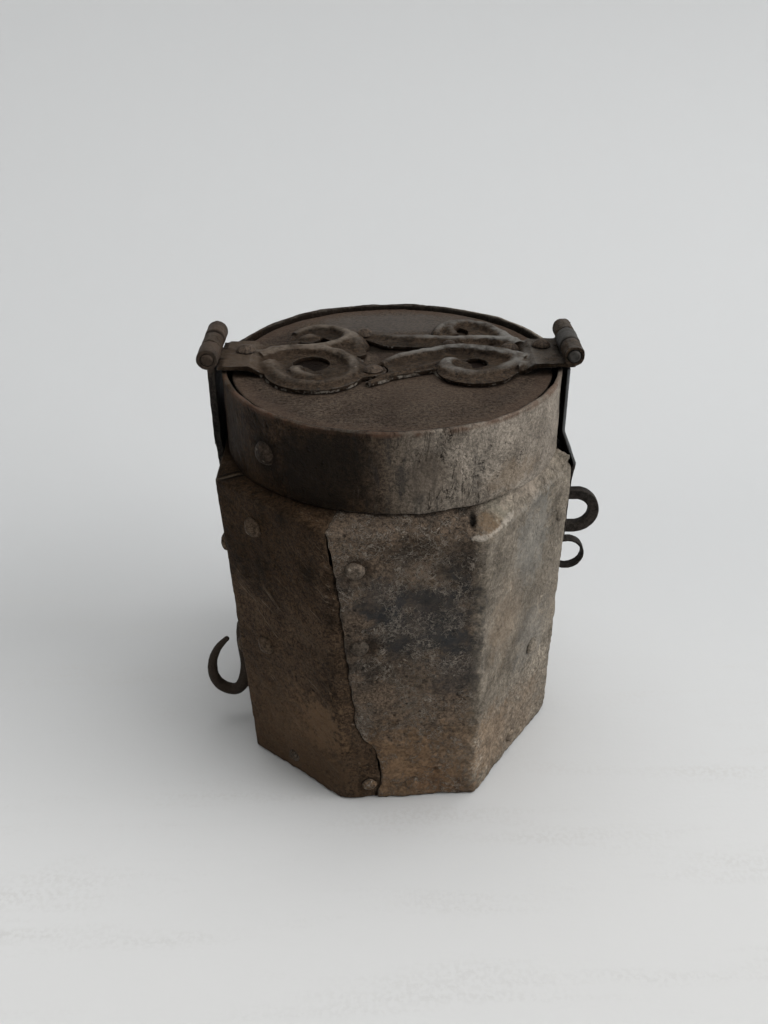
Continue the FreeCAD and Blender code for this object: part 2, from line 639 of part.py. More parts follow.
# Lid rivets: through a strap and the lid, the outer ones across the space under the shank.
lid_rivets = []
lid_holes = []
for x, y, z, radius, height in (
        (-70, 3, SHANK_TOP, 5.0, 3.0), (72, 6, SHANK_TOP, 4.8, 3.2), (57.5, 10.5, STRAP_TOP, 4.8, 3.2),
        (28.5, 17, STRAP_TOP, 3.4, 2.4), (-9, -14, STRAP_TOP, 4.8, 2.6), (-13.5, 32, STRAP_TOP, 4.6, 3.2)):
    point = on_lid(x, y, z)
    length = z - LID_TOP + LID_THICK
    lid_rivets.append(rivet(point, UP, radius, height, LID_SHANK, length))
    lid_holes.append(hole(point, UP, LID_SHANK, length))
    lid_holes.append(Part.makeCylinder(radius + RIVET_FIT, 6, point, UP))
lid_gaps = Part.makeCompound(lid_holes)
nodes["lid_plate"] = lid.cut(lid_gaps)
nodes["scroll_strap_left"] = left.cut(lid_gaps)
nodes["scroll_strap_right"] = right.cut(lid_gaps)
nodes["lid_rivets"] = Part.makeCompound(lid_rivets)
nodes["hasp_pin"] = hinge_pin(RIGHT_X)

# Hasp: hangs from the right barrel, bows out over the shoulder and forks round the staple.
# The short tine ends there, the long one is curled outward for the finger.
hasp_in = RIGHT_X - HASP_BACK
fold_x = fold_point(3).x
fold_z = fold_point(3).z
rest_z = fold_z - 12
curl_z = FOLD_HEIGHT - CURL_BELOW
hasp_end = curl_z + CURL_RADIUS * 0.7
spine = [
    (hasp_in, side_top), (hasp_in, COLLAR_BOTTOM + 7), (fold_x + 2 * HASP_CLEAR, fold_z + 1),
    (flat_x(3, rest_z) + HASP_CLEAR, rest_z), (flat_x(3, hasp_end) + HASP_CLEAR, hasp_end)]
outside = [(x + HASP_THICK, z) for x, z in reversed(spine)]
slot_half = STAPLE_HALF + SLOT_SIDE
hasp_half = slot_half + TINE_WIDTH
hasp = profile(spine + outside, -HASP_WIDTH / 2, HASP_WIDTH / 2)
side = [
    V(0, HASP_WIDTH / 2, side_top), V(0, HASP_WIDTH / 2, fold_z + 4), V(0, hasp_half, rest_z),
    V(0, hasp_half, hasp_end), V(0, -hasp_half, hasp_end), V(0, -hasp_half, rest_z),
    V(0, -HASP_WIDTH / 2, fold_z + 4), V(0, -HASP_WIDTH / 2, side_top)]
hasp = hasp.common(Part.Face(Part.makePolygon(side + side[:1])).extrude(V(2 * RIGHT_X, 0, 0)))
slot_high = STAPLE_TOP + STAPLE_BAR + SLOT_OVER
short_end = STAPLE_BOTTOM - STAPLE_BAR - TINE_UNDER
hasp = hasp.cut(box(0, 2 * RIGHT_X, -slot_half, slot_half, 0, slot_high))
hasp = hasp.cut(box(0, 2 * RIGHT_X, -2 * hasp_half, 0, 0, short_end))
curl_x = flat_x(3, curl_z) + CURL_OUT
curl = rod(CURL_RADIUS, curl_x, curl_z, slot_half, hasp_half)
curl = curl.cut(rod(CURL_RADIUS - HASP_THICK, curl_x, curl_z, slot_half, hasp_half))
curl = curl.cut(box(0, spine[-1][0], 0, 2 * hasp_half, 0, FOLD_HEIGHT))
neck = box(hasp_in, hasp_in + HASP_THICK, -MIDDLE, MIDDLE, side_top - 1, BARREL_Z)
hasp = hasp.fuse([curl, neck, knuckle(RIGHT_X, -MIDDLE, MIDDLE)])
nodes["hasp_strap"] = hasp.cut(bore(RIGHT_X))

os.makedirs("parts", exist_ok=True)
for name, shape in nodes.items():
    shape.removeSplitter().exportStep("parts/" + name + ".step")
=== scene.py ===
import math

import bpy
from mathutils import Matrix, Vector


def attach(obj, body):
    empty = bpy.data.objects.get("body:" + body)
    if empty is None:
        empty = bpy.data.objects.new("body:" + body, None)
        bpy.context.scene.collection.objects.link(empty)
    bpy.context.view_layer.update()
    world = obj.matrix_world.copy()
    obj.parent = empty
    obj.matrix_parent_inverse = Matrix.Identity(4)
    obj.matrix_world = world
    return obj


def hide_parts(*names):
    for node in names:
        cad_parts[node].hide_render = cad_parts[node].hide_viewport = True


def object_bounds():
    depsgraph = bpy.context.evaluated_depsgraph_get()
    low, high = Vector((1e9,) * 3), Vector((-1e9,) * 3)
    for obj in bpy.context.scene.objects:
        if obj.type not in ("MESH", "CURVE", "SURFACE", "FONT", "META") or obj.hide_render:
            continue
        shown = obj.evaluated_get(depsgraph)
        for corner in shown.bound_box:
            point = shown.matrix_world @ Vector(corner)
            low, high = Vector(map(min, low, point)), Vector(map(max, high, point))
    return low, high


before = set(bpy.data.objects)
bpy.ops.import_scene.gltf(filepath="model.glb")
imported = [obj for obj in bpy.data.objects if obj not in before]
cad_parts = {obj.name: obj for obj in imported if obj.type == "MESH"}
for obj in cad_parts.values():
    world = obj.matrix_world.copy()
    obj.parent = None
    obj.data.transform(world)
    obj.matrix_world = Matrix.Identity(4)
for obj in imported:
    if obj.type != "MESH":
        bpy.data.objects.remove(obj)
cad_box = [list(corner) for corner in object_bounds()]

# Camera: a little above the box and in front of it, looking down on the lid,
# with the slight turn of the hand that held it.
CAMERA_PLACE = (-0.0100, -0.4539, 0.3940)
CAMERA_PITCH = 30.907
CAMERA_ROLL = -0.00966
CAMERA_LENS = 35.16
SENSOR_WIDTH = 36.0

lens = bpy.data.cameras.new("camera")
lens.lens = CAMERA_LENS
lens.sensor_width = SENSOR_WIDTH
camera = bpy.data.objects.new("camera", lens)
bpy.context.scene.collection.objects.link(camera)
camera.rotation_mode = "ZXY"
camera.location = CAMERA_PLACE
camera.rotation_euler = (math.radians(90 - CAMERA_PITCH), 0, CAMERA_ROLL)
bpy.context.scene.camera = camera
bpy.context.scene.view_settings.view_transform = "Standard"


# Stage: a pale painted board in a plain closed room drawn up from it, with the foot of the far wall and the
# edges of the ceiling rounded like a paper sweep. The board's coat is brushed on, so it has faint streaks and
# grain that end where the sweep begins.
STAGE_HALF_WIDTH = 2.2
STAGE_FRONT = -1.4
STAGE_BACK = 0.62
STAGE_TOP = 2.2
STAGE_DROP = 0.0002
STAGE_BEND = 0.42
BEND_STEPS = 24
NEAR = 0.01
BOARD_COLOUR = (0.635, 0.634, 0.628)
STREAK_COLOUR = (0.56, 0.555, 0.545)
PAPER_COLOUR = (0.535, 0.542, 0.545)
STREAK_STRETCH = (5, 40, 20)
STREAK_TURN = 0.10
BOARD_GRAIN = 420.0
MIX_FIRST, MIX_SECOND, MIX_RESULT = 6, 7, 2


def fill(tree, socket, value):
    """Links another node's output to a socket, or sets a value; a colour gets its alpha."""
    if isinstance(value, bpy.types.NodeSocket):
        tree.links.new(value, socket)
    elif value is not None:
        socket.default_value = (*value, 1) if socket.type == "RGBA" else value


def put(tree, kind, settings, *values, **named):
    """Adds a shader node, sets its options and fills its inputs with values or other nodes' outputs."""
    node = tree.nodes.new(kind)
    for key, value in settings.items():
        setattr(node, key, value)
    for socket, value in zip(node.inputs, values):
        fill(tree, socket, value)
    for key, value in named.items():
        fill(tree, node.inputs[key.replace("_", " ")], value)
    return node


def mixed(tree, factor, first, second, how="MIX"):
    """Colour between two colours."""
    node = put(tree, "ShaderNodeMix", {"data_type": "RGBA", "blend_type": how}, factor)
    fill(tree, node.inputs[MIX_FIRST], first)
    fill(tree, node.inputs[MIX_SECOND], second)
    return node.outputs[MIX_RESULT]


def sums(tree, how, first, second=None):
    """One arithmetic step."""
    return put(tree, "ShaderNodeMath", {"operation": how}, first, second).outputs[0]


def times(tree, first, *others):
    """Product of values."""
    for other in others:
        first = sums(tree, "MULTIPLY", first, other)
    return first


def weighed(tree, *parts):
    """Sum of (value, weight) pairs."""
    total = None
    for value, weight in parts:
        part = value if weight == 1 else times(tree, value, weight)
        total = part if total is None else sums(tree, "ADD", total, part)
    return total


def between(tree, value, low, high, start=0.0, end=1.0):
    """A value run smoothly from start to end while it goes from low to high."""
    node = put(tree, "ShaderNodeMapRange", {"interpolation_type": "SMOOTHSTEP"}, value, low, high, start, end)
    return node.outputs[0]


def noise(tree, where, scale, detail=3.0, rough=0.55, swirl=0.0):
    """Cloudy noise, scale in features for each metre."""
    node = put(
        tree, "ShaderNodeTexNoise", {},
        Vector=where, Scale=scale, Detail=detail, Roughness=rough, Distortion=swirl)
    return node.outputs[0]


def stretched(tree, where, scale, turn=(0, 0, 0), place=(0, 0, 0)):
    """Coordinates moved, turned and stretched."""
    return put(tree, "ShaderNodeMapping", {}, where, place, turn, scale).outputs[0]


def parts(tree, where):
    """The x, y and z of a place."""
    return put(tree, "ShaderNodeSeparateXYZ", {}, where).outputs


def new_material(name):
    """Material with an empty node tree and its shader; returns the material, tree, shader and place."""
    material = bpy.data.materials.new(name)
    material.use_nodes = True
    tree = material.node_tree
    tree.nodes.clear()
    shader = tree.nodes.new("ShaderNodeBsdfPrincipled")
    output = tree.nodes.new("ShaderNodeOutputMaterial")
    tree.links.new(shader.outputs[0], output.inputs[0])
    where = tree.nodes.new("ShaderNodeTexCoord").outputs["Object"]
    return material, tree, shader, where


def alone(piece):
    """Selects one piece and makes it active."""
    bpy.ops.object.select_all(action="DESELECT")
    piece.select_set(True)
    bpy.context.view_layer.objects.active = piece


bpy.ops.object.select_all(action="DESELECT")
bpy.ops.mesh.primitive_plane_add(size=2, location=(0, 0, 0))
stage = bpy.context.object
stage.name = "stage"
stage.scale = (STAGE_HALF_WIDTH, (STAGE_BACK - STAGE_FRONT) / 2, 1)
stage.location = (0, (STAGE_BACK + STAGE_FRONT) / 2, -STAGE_DROP)
bpy.ops.object.transform_apply()
bpy.ops.object.mode_set(mode="EDIT")
bpy.ops.mesh.select_mode(type="EDGE")
bpy.ops.mesh.select_all(action="SELECT")
bpy.ops.mesh.extrude_region_move(TRANSFORM_OT_translate={"value": (0, 0, STAGE_TOP)})
bpy.ops.mesh.select_all(action="DESELECT")
bpy.ops.object.mode_set(mode="OBJECT")
for edge in stage.data.edges:
    ends = [stage.data.vertices[v].co for v in edge.vertices]
    far_foot = all(end.y > STAGE_BACK - NEAR and end.z < NEAR for end in ends)
    edge.select = far_foot or all(end.z > STAGE_TOP - NEAR for end in ends)
bpy.ops.object.mode_set(mode="EDIT")
bpy.ops.mesh.bevel(offset=STAGE_BEND, segments=BEND_STEPS, affect="EDGES")
bpy.ops.object.mode_set(mode="OBJECT")
bpy.ops.object.shade_smooth()

board, tree, shader, where = new_material("pale_board")
back = parts(tree, where)[1]
coated = between(tree, back, 0.22, -0.05)
streak = noise(
    tree, stretched(tree, where, STREAK_STRETCH, (0, 0, STREAK_TURN)), scale=1.0, detail=7.0, rough=0.62)
grain = noise(tree, where, BOARD_GRAIN, detail=4.0)
flecks = times(tree, between(tree, streak, 0.48, 0.74), between(tree, grain, 0.40, 0.62), coated)
paper = mixed(tree, between(tree, back, 0.20, -0.25), PAPER_COLOUR, BOARD_COLOUR)
tree.links.new(mixed(tree, flecks, paper, STREAK_COLOUR), shader.inputs["Base Color"])
rise = times(tree, weighed(tree, (streak, 1), (grain, 0.35)), coated)
dent = put(tree, "ShaderNodeBump", {}, Strength=0.18, Distance=0.0008, Height=rise)
tree.links.new(dent.outputs[0], shader.inputs["Normal"])
shader.inputs["Roughness"].default_value = 0.8
shader.inputs["Specular IOR Level"].default_value = 0.2
stage.data.materials.append(board)


# Light: one broad soft window on the right and a weak one above and behind, both inside the room.
# The dim light outside it reaches the box only where the stage is hidden.
def window(name, place, aim, width, height, watts):
    """Soft rectangular lamp at a place, turned to a point."""
    lamp = bpy.data.lights.new(name, "AREA")
    lamp.shape = "RECTANGLE"
    lamp.size = width
    lamp.size_y = height
    lamp.energy = watts
    holder = bpy.data.objects.new(name, lamp)
    bpy.context.scene.collection.objects.link(holder)
    holder.location = place
    holder.rotation_euler = (Vector(aim) - Vector(place)).to_track_quat("-Z", "Y").to_euler()


window("window_right", place=(1.70, -0.45, 1.05), aim=(0.0, 0.0, 0.10), width=1.7, height=1.7, watts=41.0)
window("window_above", place=(0.10, 0.30, 1.70), aim=(0.0, 0.05, 0.0), width=1.6, height=1.2, watts=15.5)

OUTSIDE_COLOUR = (1.0, 0.995, 0.985, 1)
OUTSIDE_STRENGTH = 0.40
room = bpy.data.worlds.new("room")
bpy.context.scene.world = room
room.use_nodes = True
room.node_tree.nodes["Background"].inputs["Color"].default_value = OUTSIDE_COLOUR
room.node_tree.nodes["Background"].inputs["Strength"].default_value = OUTSIDE_STRENGTH


# Body plates: six sheets of hammered wrought iron, folded at the corners and over at the shoulder and
# riveted where they lap. Each is the built sheet with its edges softened, dented by the hammer
# and skinned with dark scale, rust and worn grey.
def group(name, inputs, outputs):
    """Empty shader node group; returns its tree, its input sockets and its output node."""
    tree = bpy.data.node_groups.new(name, "ShaderNodeTree")
    kinds = {"value": "NodeSocketFloat", "colour": "NodeSocketColor", "place": "NodeSocketVector"}
    for title, kind in inputs.items():
        tree.interface.new_socket(title, in_out="INPUT", socket_type=kinds[kind])
    for title, kind in outputs.items():
        tree.interface.new_socket(title, in_out="OUTPUT", socket_type=kinds[kind])
    given = tree.nodes.new("NodeGroupInput").outputs
    return tree, given, tree.nodes.new("NodeGroupOutput")


def give(tree, result, **values):
    """Links values to a group's outputs by their names."""
    for title, value in values.items():
        tree.links.new(value, result.inputs[title.replace("_", " ")])


def use(tree, name, **named):
    """Places a node group and returns its outputs."""
    return put(tree, "ShaderNodeGroup", {"node_tree": bpy.data.node_groups[name]}, **named).outputs


def grey(tree, value):
    """Grey colour of one value."""
    return put(tree, "ShaderNodeCombineColor", {}, value, value, value).outputs[0]


# Scaled skin: clouds of dark and brown, worn pale patches and the fine grain of old iron.
skin, given, result = group(
    "scaled skin",
    {"Place": "place", "Dark": "colour", "Brown": "colour", "Pale": "colour", "Worn": "value", "Fleck": "value"},
    {"Color": "colour", "Roughness": "value", "Height": "value"})
place = given["Place"]
cloud = noise(skin, place, scale=24.0, detail=6.0, rough=0.65, swirl=0.3)
blotch = noise(skin, place, scale=95.0, detail=7.0, rough=0.72, swirl=0.2)
grain = noise(skin, place, scale=620.0, detail=4.0, rough=0.70)
dust = noise(skin, place, scale=1500.0, detail=2.0, rough=0.6)
colour = mixed(skin, between(skin, cloud, 0.36, 0.64), given["Dark"], given["Brown"])
colour = mixed(skin, between(skin, blotch, 0.40, 0.66, 0.0, 0.75), colour, given["Brown"])
wear = weighed(skin, (blotch, 0.55), (grain, 0.45))
limit = sums(skin, "SUBTRACT", 0.78, times(skin, given["Worn"], 0.30))
worn = between(skin, wear, limit, sums(skin, "ADD", limit, 0.13))
colour = mixed(skin, times(skin, worn, 0.85), colour, given["Pale"])
fleck = between(skin, weighed(skin, (grain, 0.6), (dust, 0.4)), 0.36, 0.64, 0.28, 1.90)
colour = mixed(skin, given["Fleck"], colour, grey(skin, fleck), "MULTIPLY")
rough = sums(skin, "ADD", 0.40, times(skin, grain, 0.34))
height = weighed(skin, (blotch, 0.45), (grain, 0.65), (dust, 0.16))
give(skin, result, Color=colour, Roughness=rough, Height=height)

# Flaking: shallow steps where layers of scale have come away.
flaking, given, result = group(
    "flaking", {"Place": "place", "Scale": "value"}, {"Step": "value", "Edge": "value"})
layer = noise(flaking, given["Place"], given["Scale"], detail=7.0, rough=0.66, swirl=0.5)
second = between(flaking, layer, 0.53, 0.56)
step = weighed(
    flaking, (between(flaking, layer, 0.44, 0.48), 1), (second, 1), (between(flaking, layer, 0.61, 0.635), 1))
rim = times(flaking, second, between(flaking, layer, 0.60, 0.57))
give(flaking, result, Step=times(flaking, step, 0.333), Edge=rim)

# Pitting: round rust pits, scattered.
pitting, given, result = group(
    "pitting", {"Place": "place", "Scale": "value", "Share": "value"}, {"Pit": "value"})
cell = put(pitting, "ShaderNodeTexVoronoi", {}, Vector=given["Place"], Scale=given["Scale"], Randomness=1.0)
chance = put(pitting, "ShaderNodeSeparateColor", {}, cell.outputs["Color"]).outputs[0]
chosen = sums(pitting, "LESS_THAN", chance, given["Share"])
give(pitting, result, Pit=times(pitting, between(pitting, cell.outputs["Distance"], 0.34, 0.12), chosen))

# Worn edges: bright where the form stands out; where it is hollow, a mask that the finish fills with rust and
# painted shade.
edging, given, result = group("worn edges", {"Place": "place"}, {"Edge": "value", "Hollow": "value"})
point = edging.nodes.new("ShaderNodeNewGeometry").outputs["Pointiness"]
broken = between(edging, noise(edging, given["Place"], scale=240.0, detail=4.0), 0.30, 0.66)
give(edging, result, Edge=times(edging, between(edging, point, 0.515, 0.58), broken),
     Hollow=between(edging, point, 0.49, 0.43))

# Patch: a ragged spot at a place on the object.
patch, given, result = group(
    "ragged patch", {"Place": "place", "Centre": "place", "Size": "place", "Ragged": "value"}, {"Mask": "value"})
offset = put(patch, "ShaderNodeVectorMath", {"operation": "SUBTRACT"}, given["Place"], given["Centre"]).outputs[0]
offset = put(patch, "ShaderNodeVectorMath", {"operation": "DIVIDE"}, offset, given["Size"]).outputs[0]
reach = put(patch, "ShaderNodeVectorMath", {"operation": "LENGTH"}, offset).outputs[1]
torn = sums(
    patch, "ADD", noise(patch, given["Place"], scale=95.0, detail=6.0, rough=0.65),
    noise(patch, given["Place"], scale=430.0, detail=4.0, rough=0.7))
torn = sums(patch, "SUBTRACT", torn, 1.0)
reach = sums(patch, "ADD", reach, times(patch, torn, given["Ragged"]))
give(patch, result, Mask=between(patch, reach, 1.05, 0.45))

# Scratches: fine lines that slant down across the left of the front.
SCRATCH_HEADING = 0.63
scratching, given, result = group("scratches", {"Place": "place"}, {"Line": "value"})
threads = []
for tilt, stretch in ((0.75, (800, 800, 14)), (1.05, (620, 620, 20))):
    slant = stretched(scratching, given["Place"], (1, 1, 1), (0, 0, SCRATCH_HEADING))
    slant = stretched(scratching, slant, (1, 1, 1), (0, tilt, 0))
    thread = noise(scratching, stretched(scratching, slant, stretch), scale=1.0, detail=2.0)
    threads.append(between(scratching, thread, 0.64, 0.72))
gap = between(scratching, noise(scratching, given["Place"], scale=60.0), 0.45, 0.62)
give(scratching, result, Line=times(scratching, sums(scratching, "MAXIMUM", *threads), gap))

# Wrinkles: short raised lines where the scale has crept and buckled.
wrinkling, given, result = group("wrinkles", {"Place": "place", "Scale": "value"}, {"Line": "value"})
crease = noise(wrinkling, given["Place"], given["Scale"], detail=4.0, rough=0.60, swirl=0.5)
off = sums(wrinkling, "ABSOLUTE", sums(wrinkling, "SUBTRACT", crease, 0.5))
gap = between(wrinkling, noise(wrinkling, given["Place"], scale=60.0, detail=6.0, rough=0.72), 0.46, 0.54)
give(wrinkling, result, Line=times(wrinkling, between(wrinkling, off, 0.024, 0.004), gap))

# Near black: painted shade in hollows, corners, folds and grooves, and the dark of the collar's cracks.
CRACK_AND_SHADE_COLOUR = (0.006, 0.004, 0.003)
PIT_COLOUR = (0.012, 0.009, 0.007)
PIT_SCALE = 330.0
PIT_DARK = 0.75
FLAKE_EDGE_HIGHLIGHT = 0.12
FLAKE_RISE = 0.7
PIT_DEPTH = 0.7
SHADE_REACH = 0.005


def rusty_iron(name, dark, brown, pale, worn, flake=70.0, pits=0.10):
    """Old iron: scaled skin, flakes and pits; the worn edges come with the finish below. Returns what the finish
    below needs.
    """
    material, tree, shader, where = new_material(name)
    coat = use(tree, "scaled skin", Place=where, Dark=dark, Brown=brown, Pale=pale, Worn=worn, Fleck=1.0)
    flakes = use(tree, "flaking", Place=where, Scale=flake)
    pit = use(tree, "pitting", Place=where, Scale=PIT_SCALE, Share=pits)["Pit"]
    # Painted highlight on the rims of the flakes.
    shade = mixed(tree, times(tree, flakes["Edge"], FLAKE_EDGE_HIGHLIGHT), coat["Color"], pale)
    shade = mixed(tree, times(tree, pit, PIT_DARK), shade, PIT_COLOUR)
    height = weighed(tree, (coat["Height"], 1), (flakes["Step"], FLAKE_RISE), (pit, -PIT_DEPTH))
    return {
        "material": material, "tree": tree, "shader": shader, "where": where,
        "colour": shade, "rough": coat["Roughness"], "height": height}


def painted(iron, mask, tint, strength=1, how="MIX"):
    """Lays a colour on an iron where the mask is."""
    tree = iron["tree"]
    share = mask if strength == 1 else times(tree, mask, strength)
    iron["colour"] = mixed(tree, share, iron["colour"], tint, how)


def raised(iron, mask, rise):
    """Lifts an iron's surface where the mask is."""
    iron["height"] = weighed(iron["tree"], (iron["height"], 1), (mask, rise))


def spot_mask(iron, centre, size, ragged, turn=0):
    """Ragged spot at a place, in metres; turn is about the upright, in degrees."""
    where = iron["where"]
    if turn:
        where = stretched(iron["tree"], where, (1, 1, 1), (0, 0, math.radians(turn)))
    return use(iron["tree"], "ragged patch", Place=where, Centre=centre, Size=size, Ragged=ragged)["Mask"]


def tinted(iron, *patches, how="MIX"):
    """Colours ragged patches, each of (centre, size, colour, strength, raggedness)."""
    for centre, size, tint, strength, ragged in patches:
        painted(iron, spot_mask(iron, centre, size, ragged), tint, strength, how)


def finished(iron, edge, hollow=CRACK_AND_SHADE_COLOUR, edge_strength=0.6, depth=0.0006, strength=0.8, sheen=0.09):
    """Adds worn edges, rust and painted shade in hollows, and painted shade where nearby surfaces close in;
    links colour, roughness, bare metal and bump to the shader.
    """
    tree, shader = iron["tree"], iron["shader"]
    edges = use(tree, "worn edges", Place=iron["where"])
    # Rust and painted shade in small hollows.
    painted(iron, edges["Hollow"], hollow, 0.8)
    # Painted shade where nearby surfaces close in, from ambient occlusion.
    painted_shade = put(tree, "ShaderNodeAmbientOcclusion", {"samples": 6}, Distance=SHADE_REACH).outputs["AO"]
    painted(iron, between(tree, painted_shade, 0.80, 0.25, 0.0, 0.85), hollow)
    painted(iron, edges["Edge"], edge, edge_strength)
    tree.links.new(iron["colour"], shader.inputs["Base Color"])
    tree.links.new(iron["rough"], shader.inputs["Roughness"])
    bump = put(tree, "ShaderNodeBump", {}, Strength=strength, Distance=depth, Height=iron["height"])
    tree.links.new(bump.outputs[0], shader.inputs["Normal"])
    tree.links.new(times(tree, edges["Edge"], 0.5), shader.inputs["Metallic"])
    shader.inputs["Specular IOR Level"].default_value = sheen
    return iron["material"]


def changed(piece, kind, **settings):
    """Adds a modifier with these settings and applies it."""
    alone(piece)
    step = piece.modifiers.new(kind.lower(), kind)
    for key, value in settings.items():
        setattr(step, key, value)
    bpy.ops.object.modifier_apply(modifier=step.name)


def hammered(piece, size, depth, along="NORMAL", level=0.55):
    """Dents and swells the surface by up to depth, in spots of about that size."""
    cloud = bpy.data.textures.new(piece.name + "_dents", "CLOUDS")
    cloud.noise_scale = size
    cloud.noise_depth = 2
    changed(
        piece, "DISPLACE", texture=cloud, texture_coords="LOCAL", direction=along, strength=depth,
        mid_level=level)
    bpy.data.textures.remove(cloud)


def cut_away(piece, cutter):
    """Takes the cutter's shape out of a piece and removes the cutter."""
    changed(piece, "BOOLEAN", operation="DIFFERENCE", object=cutter, solver="MANIFOLD")
    bpy.data.objects.remove(cutter)


def joined(piece, *others):
    """Makes other pieces part of a piece."""
    alone(piece)
    for other in others:
        other.select_set(True)
    bpy.ops.object.join()


def block(place, size, turn=(0, 0, 0)):
    """Block of a size at a place, turned by degrees about x, y and z."""
    bpy.ops.object.select_all(action="DESELECT")
    bpy.ops.mesh.primitive_cube_add(size=1, location=place)
    piece = bpy.context.object
    piece.scale = size
    piece.rotation_euler = [math.radians(angle) for angle in turn]
    bpy.ops.object.transform_apply()
    return piece


MERGE_REACH = 0.00001


def wrought_copy(node, name):
    """New piece with the shape of a CAD node, its triangles merged."""
    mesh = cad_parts[node].data.copy()
    mesh.materials.clear()
    piece = bpy.data.objects.new(name, mesh)
    bpy.context.scene.collection.objects.link(piece)
    alone(piece)
    bpy.ops.object.mode_set(mode="EDIT")
    bpy.ops.mesh.select_all(action="SELECT")
    bpy.ops.mesh.remove_doubles(threshold=MERGE_REACH)
    bpy.ops.object.mode_set(mode="OBJECT")
    return piece


def reskinned(piece, voxel):
    """Rebuilds a piece with an even skin."""
    changed(piece, "REMESH", mode="VOXEL", voxel_size=voxel)


def skinned(piece, voxel, rounds):
    """Rebuilds a piece with an even skin and rounds its edges."""
    reskinned(piece, voxel)
    changed(piece, "SMOOTH", factor=0.5, iterations=rounds)


def fixed(piece, material, slot, body, *nodes):
    """Gives a piece its finish and its place in the object."""
    alone(piece)
    bpy.ops.object.shade_smooth()
    piece.data.materials.clear()
    piece.data.materials.append(material)
    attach(piece, body)
    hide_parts(*nodes)


SLIT_ROD_RADIUS = 0.0013


def slit_backed(piece, *slits):
    """Joins a rod under each slit of the shoulder, between two points, so that no gap shows through."""
    for start, end in slits:
        run = Vector(end) - Vector(start)
        bpy.ops.object.select_all(action="DESELECT")
        bpy.ops.mesh.primitive_cylinder_add(
            vertices=16, radius=SLIT_ROD_RADIUS, depth=run.length, location=Vector(start) + run / 2,
            rotation=run.to_track_quat("Z", "Y").to_euler())
        joined(piece, bpy.context.object)


def kept_inside(piece):
    """Presses back any spot that stands outside the size the box was built to."""
    low, high = cad_box
    for corner in piece.data.vertices:
        corner.co = [min(max(at, least), most) for at, least, most in zip(corner.co, low, high)]


def dented(piece, spots):
    """Presses round dents of (place, radius, depth) into a piece; the places are on its outside."""
    for spot, radius, depth in spots:
        outward = Vector((spot[0], spot[1], 0)).normalized()
        bpy.ops.object.select_all(action="DESELECT")
        bpy.ops.mesh.primitive_ico_sphere_add(
            subdivisions=4, radius=radius, location=Vector(spot) + outward * (radius - depth))
        cut_away(piece, bpy.context.object)


GREY_IRON = (0.155, 0.138, 0.118)
RUST = (0.105, 0.056, 0.028)
OCHRE = (0.150, 0.098, 0.056)
BLUE_BLACK = (0.024, 0.026, 0.028)
# Pale grey of worn edges, also used for the painted highlight on the left fold's lip.
EDGE_WEAR_AND_HIGHLIGHT = (0.175, 0.155, 0.130)
SCRATCH_COLOUR = (0.135, 0.104, 0.078)
LEFT_TURN = -30.1
LEFT_FOLD = (-0.0910, 0.1693)

left_iron = rusty_iron(
    "left_sheet_iron", dark=(0.020, 0.013, 0.008), brown=(0.057, 0.037, 0.023), pale=(0.120, 0.087, 0.061),
    worn=0.34)
# Painted shade in two dark lines along the fold at the left corner, with a painted highlight on the lip between
# them.
for across, width, tint, strength in (
        (0.0046, 0.0010, CRACK_AND_SHADE_COLOUR, 0.95), (0.0004, 0.0010, CRACK_AND_SHADE_COLOUR, 0.95), (0.0025, 0.0011, EDGE_WEAR_AND_HIGHLIGHT, 0.65)):
    fold = spot_mask(
        left_iron, (LEFT_FOLD[0], across, LEFT_FOLD[1]), (0.0110, width, 0.0045), 0.6, LEFT_TURN)
    painted(left_iron, fold, tint, strength)
line = use(left_iron["tree"], "scratches", Place=left_iron["where"])["Line"]
painted(left_iron, line, SCRATCH_COLOUR, 0.9)
tinted(
    left_iron,
    ((-0.043, -0.078, 0.046), (0.018, 0.02, 0.021), (0.165, 0.104, 0.060), 0.62, 2.6),
    ((-0.060, -0.068, 0.015), (0.05, 0.04, 0.050), (0.100, 0.062, 0.036), 0.50, 1.8))
tinted(
    left_iron, ((-0.070, -0.060, 0.158), (0.07, 0.06, 0.055), (0.50, 0.45, 0.38), 0.9, 0.9), how="MULTIPLY")
left_finish = finished(
    left_iron, edge=(0.10, 0.075, 0.052), edge_strength=0.5, depth=0.0008, strength=1.0, sheen=0.04)

CORNER_FROM, CORNER_TO = 0.0275, 0.0358
CREASE_HIGHLIGHT = (0.36, 0.32, 0.27)
CREASE_TURN = -55.6
WRINKLE_HIGHLIGHT = (0.37, 0.32, 0.265)
WRINKLE_RISE = 1.2
RIVET_SHADOW = (0.30, 0.27, 0.24)

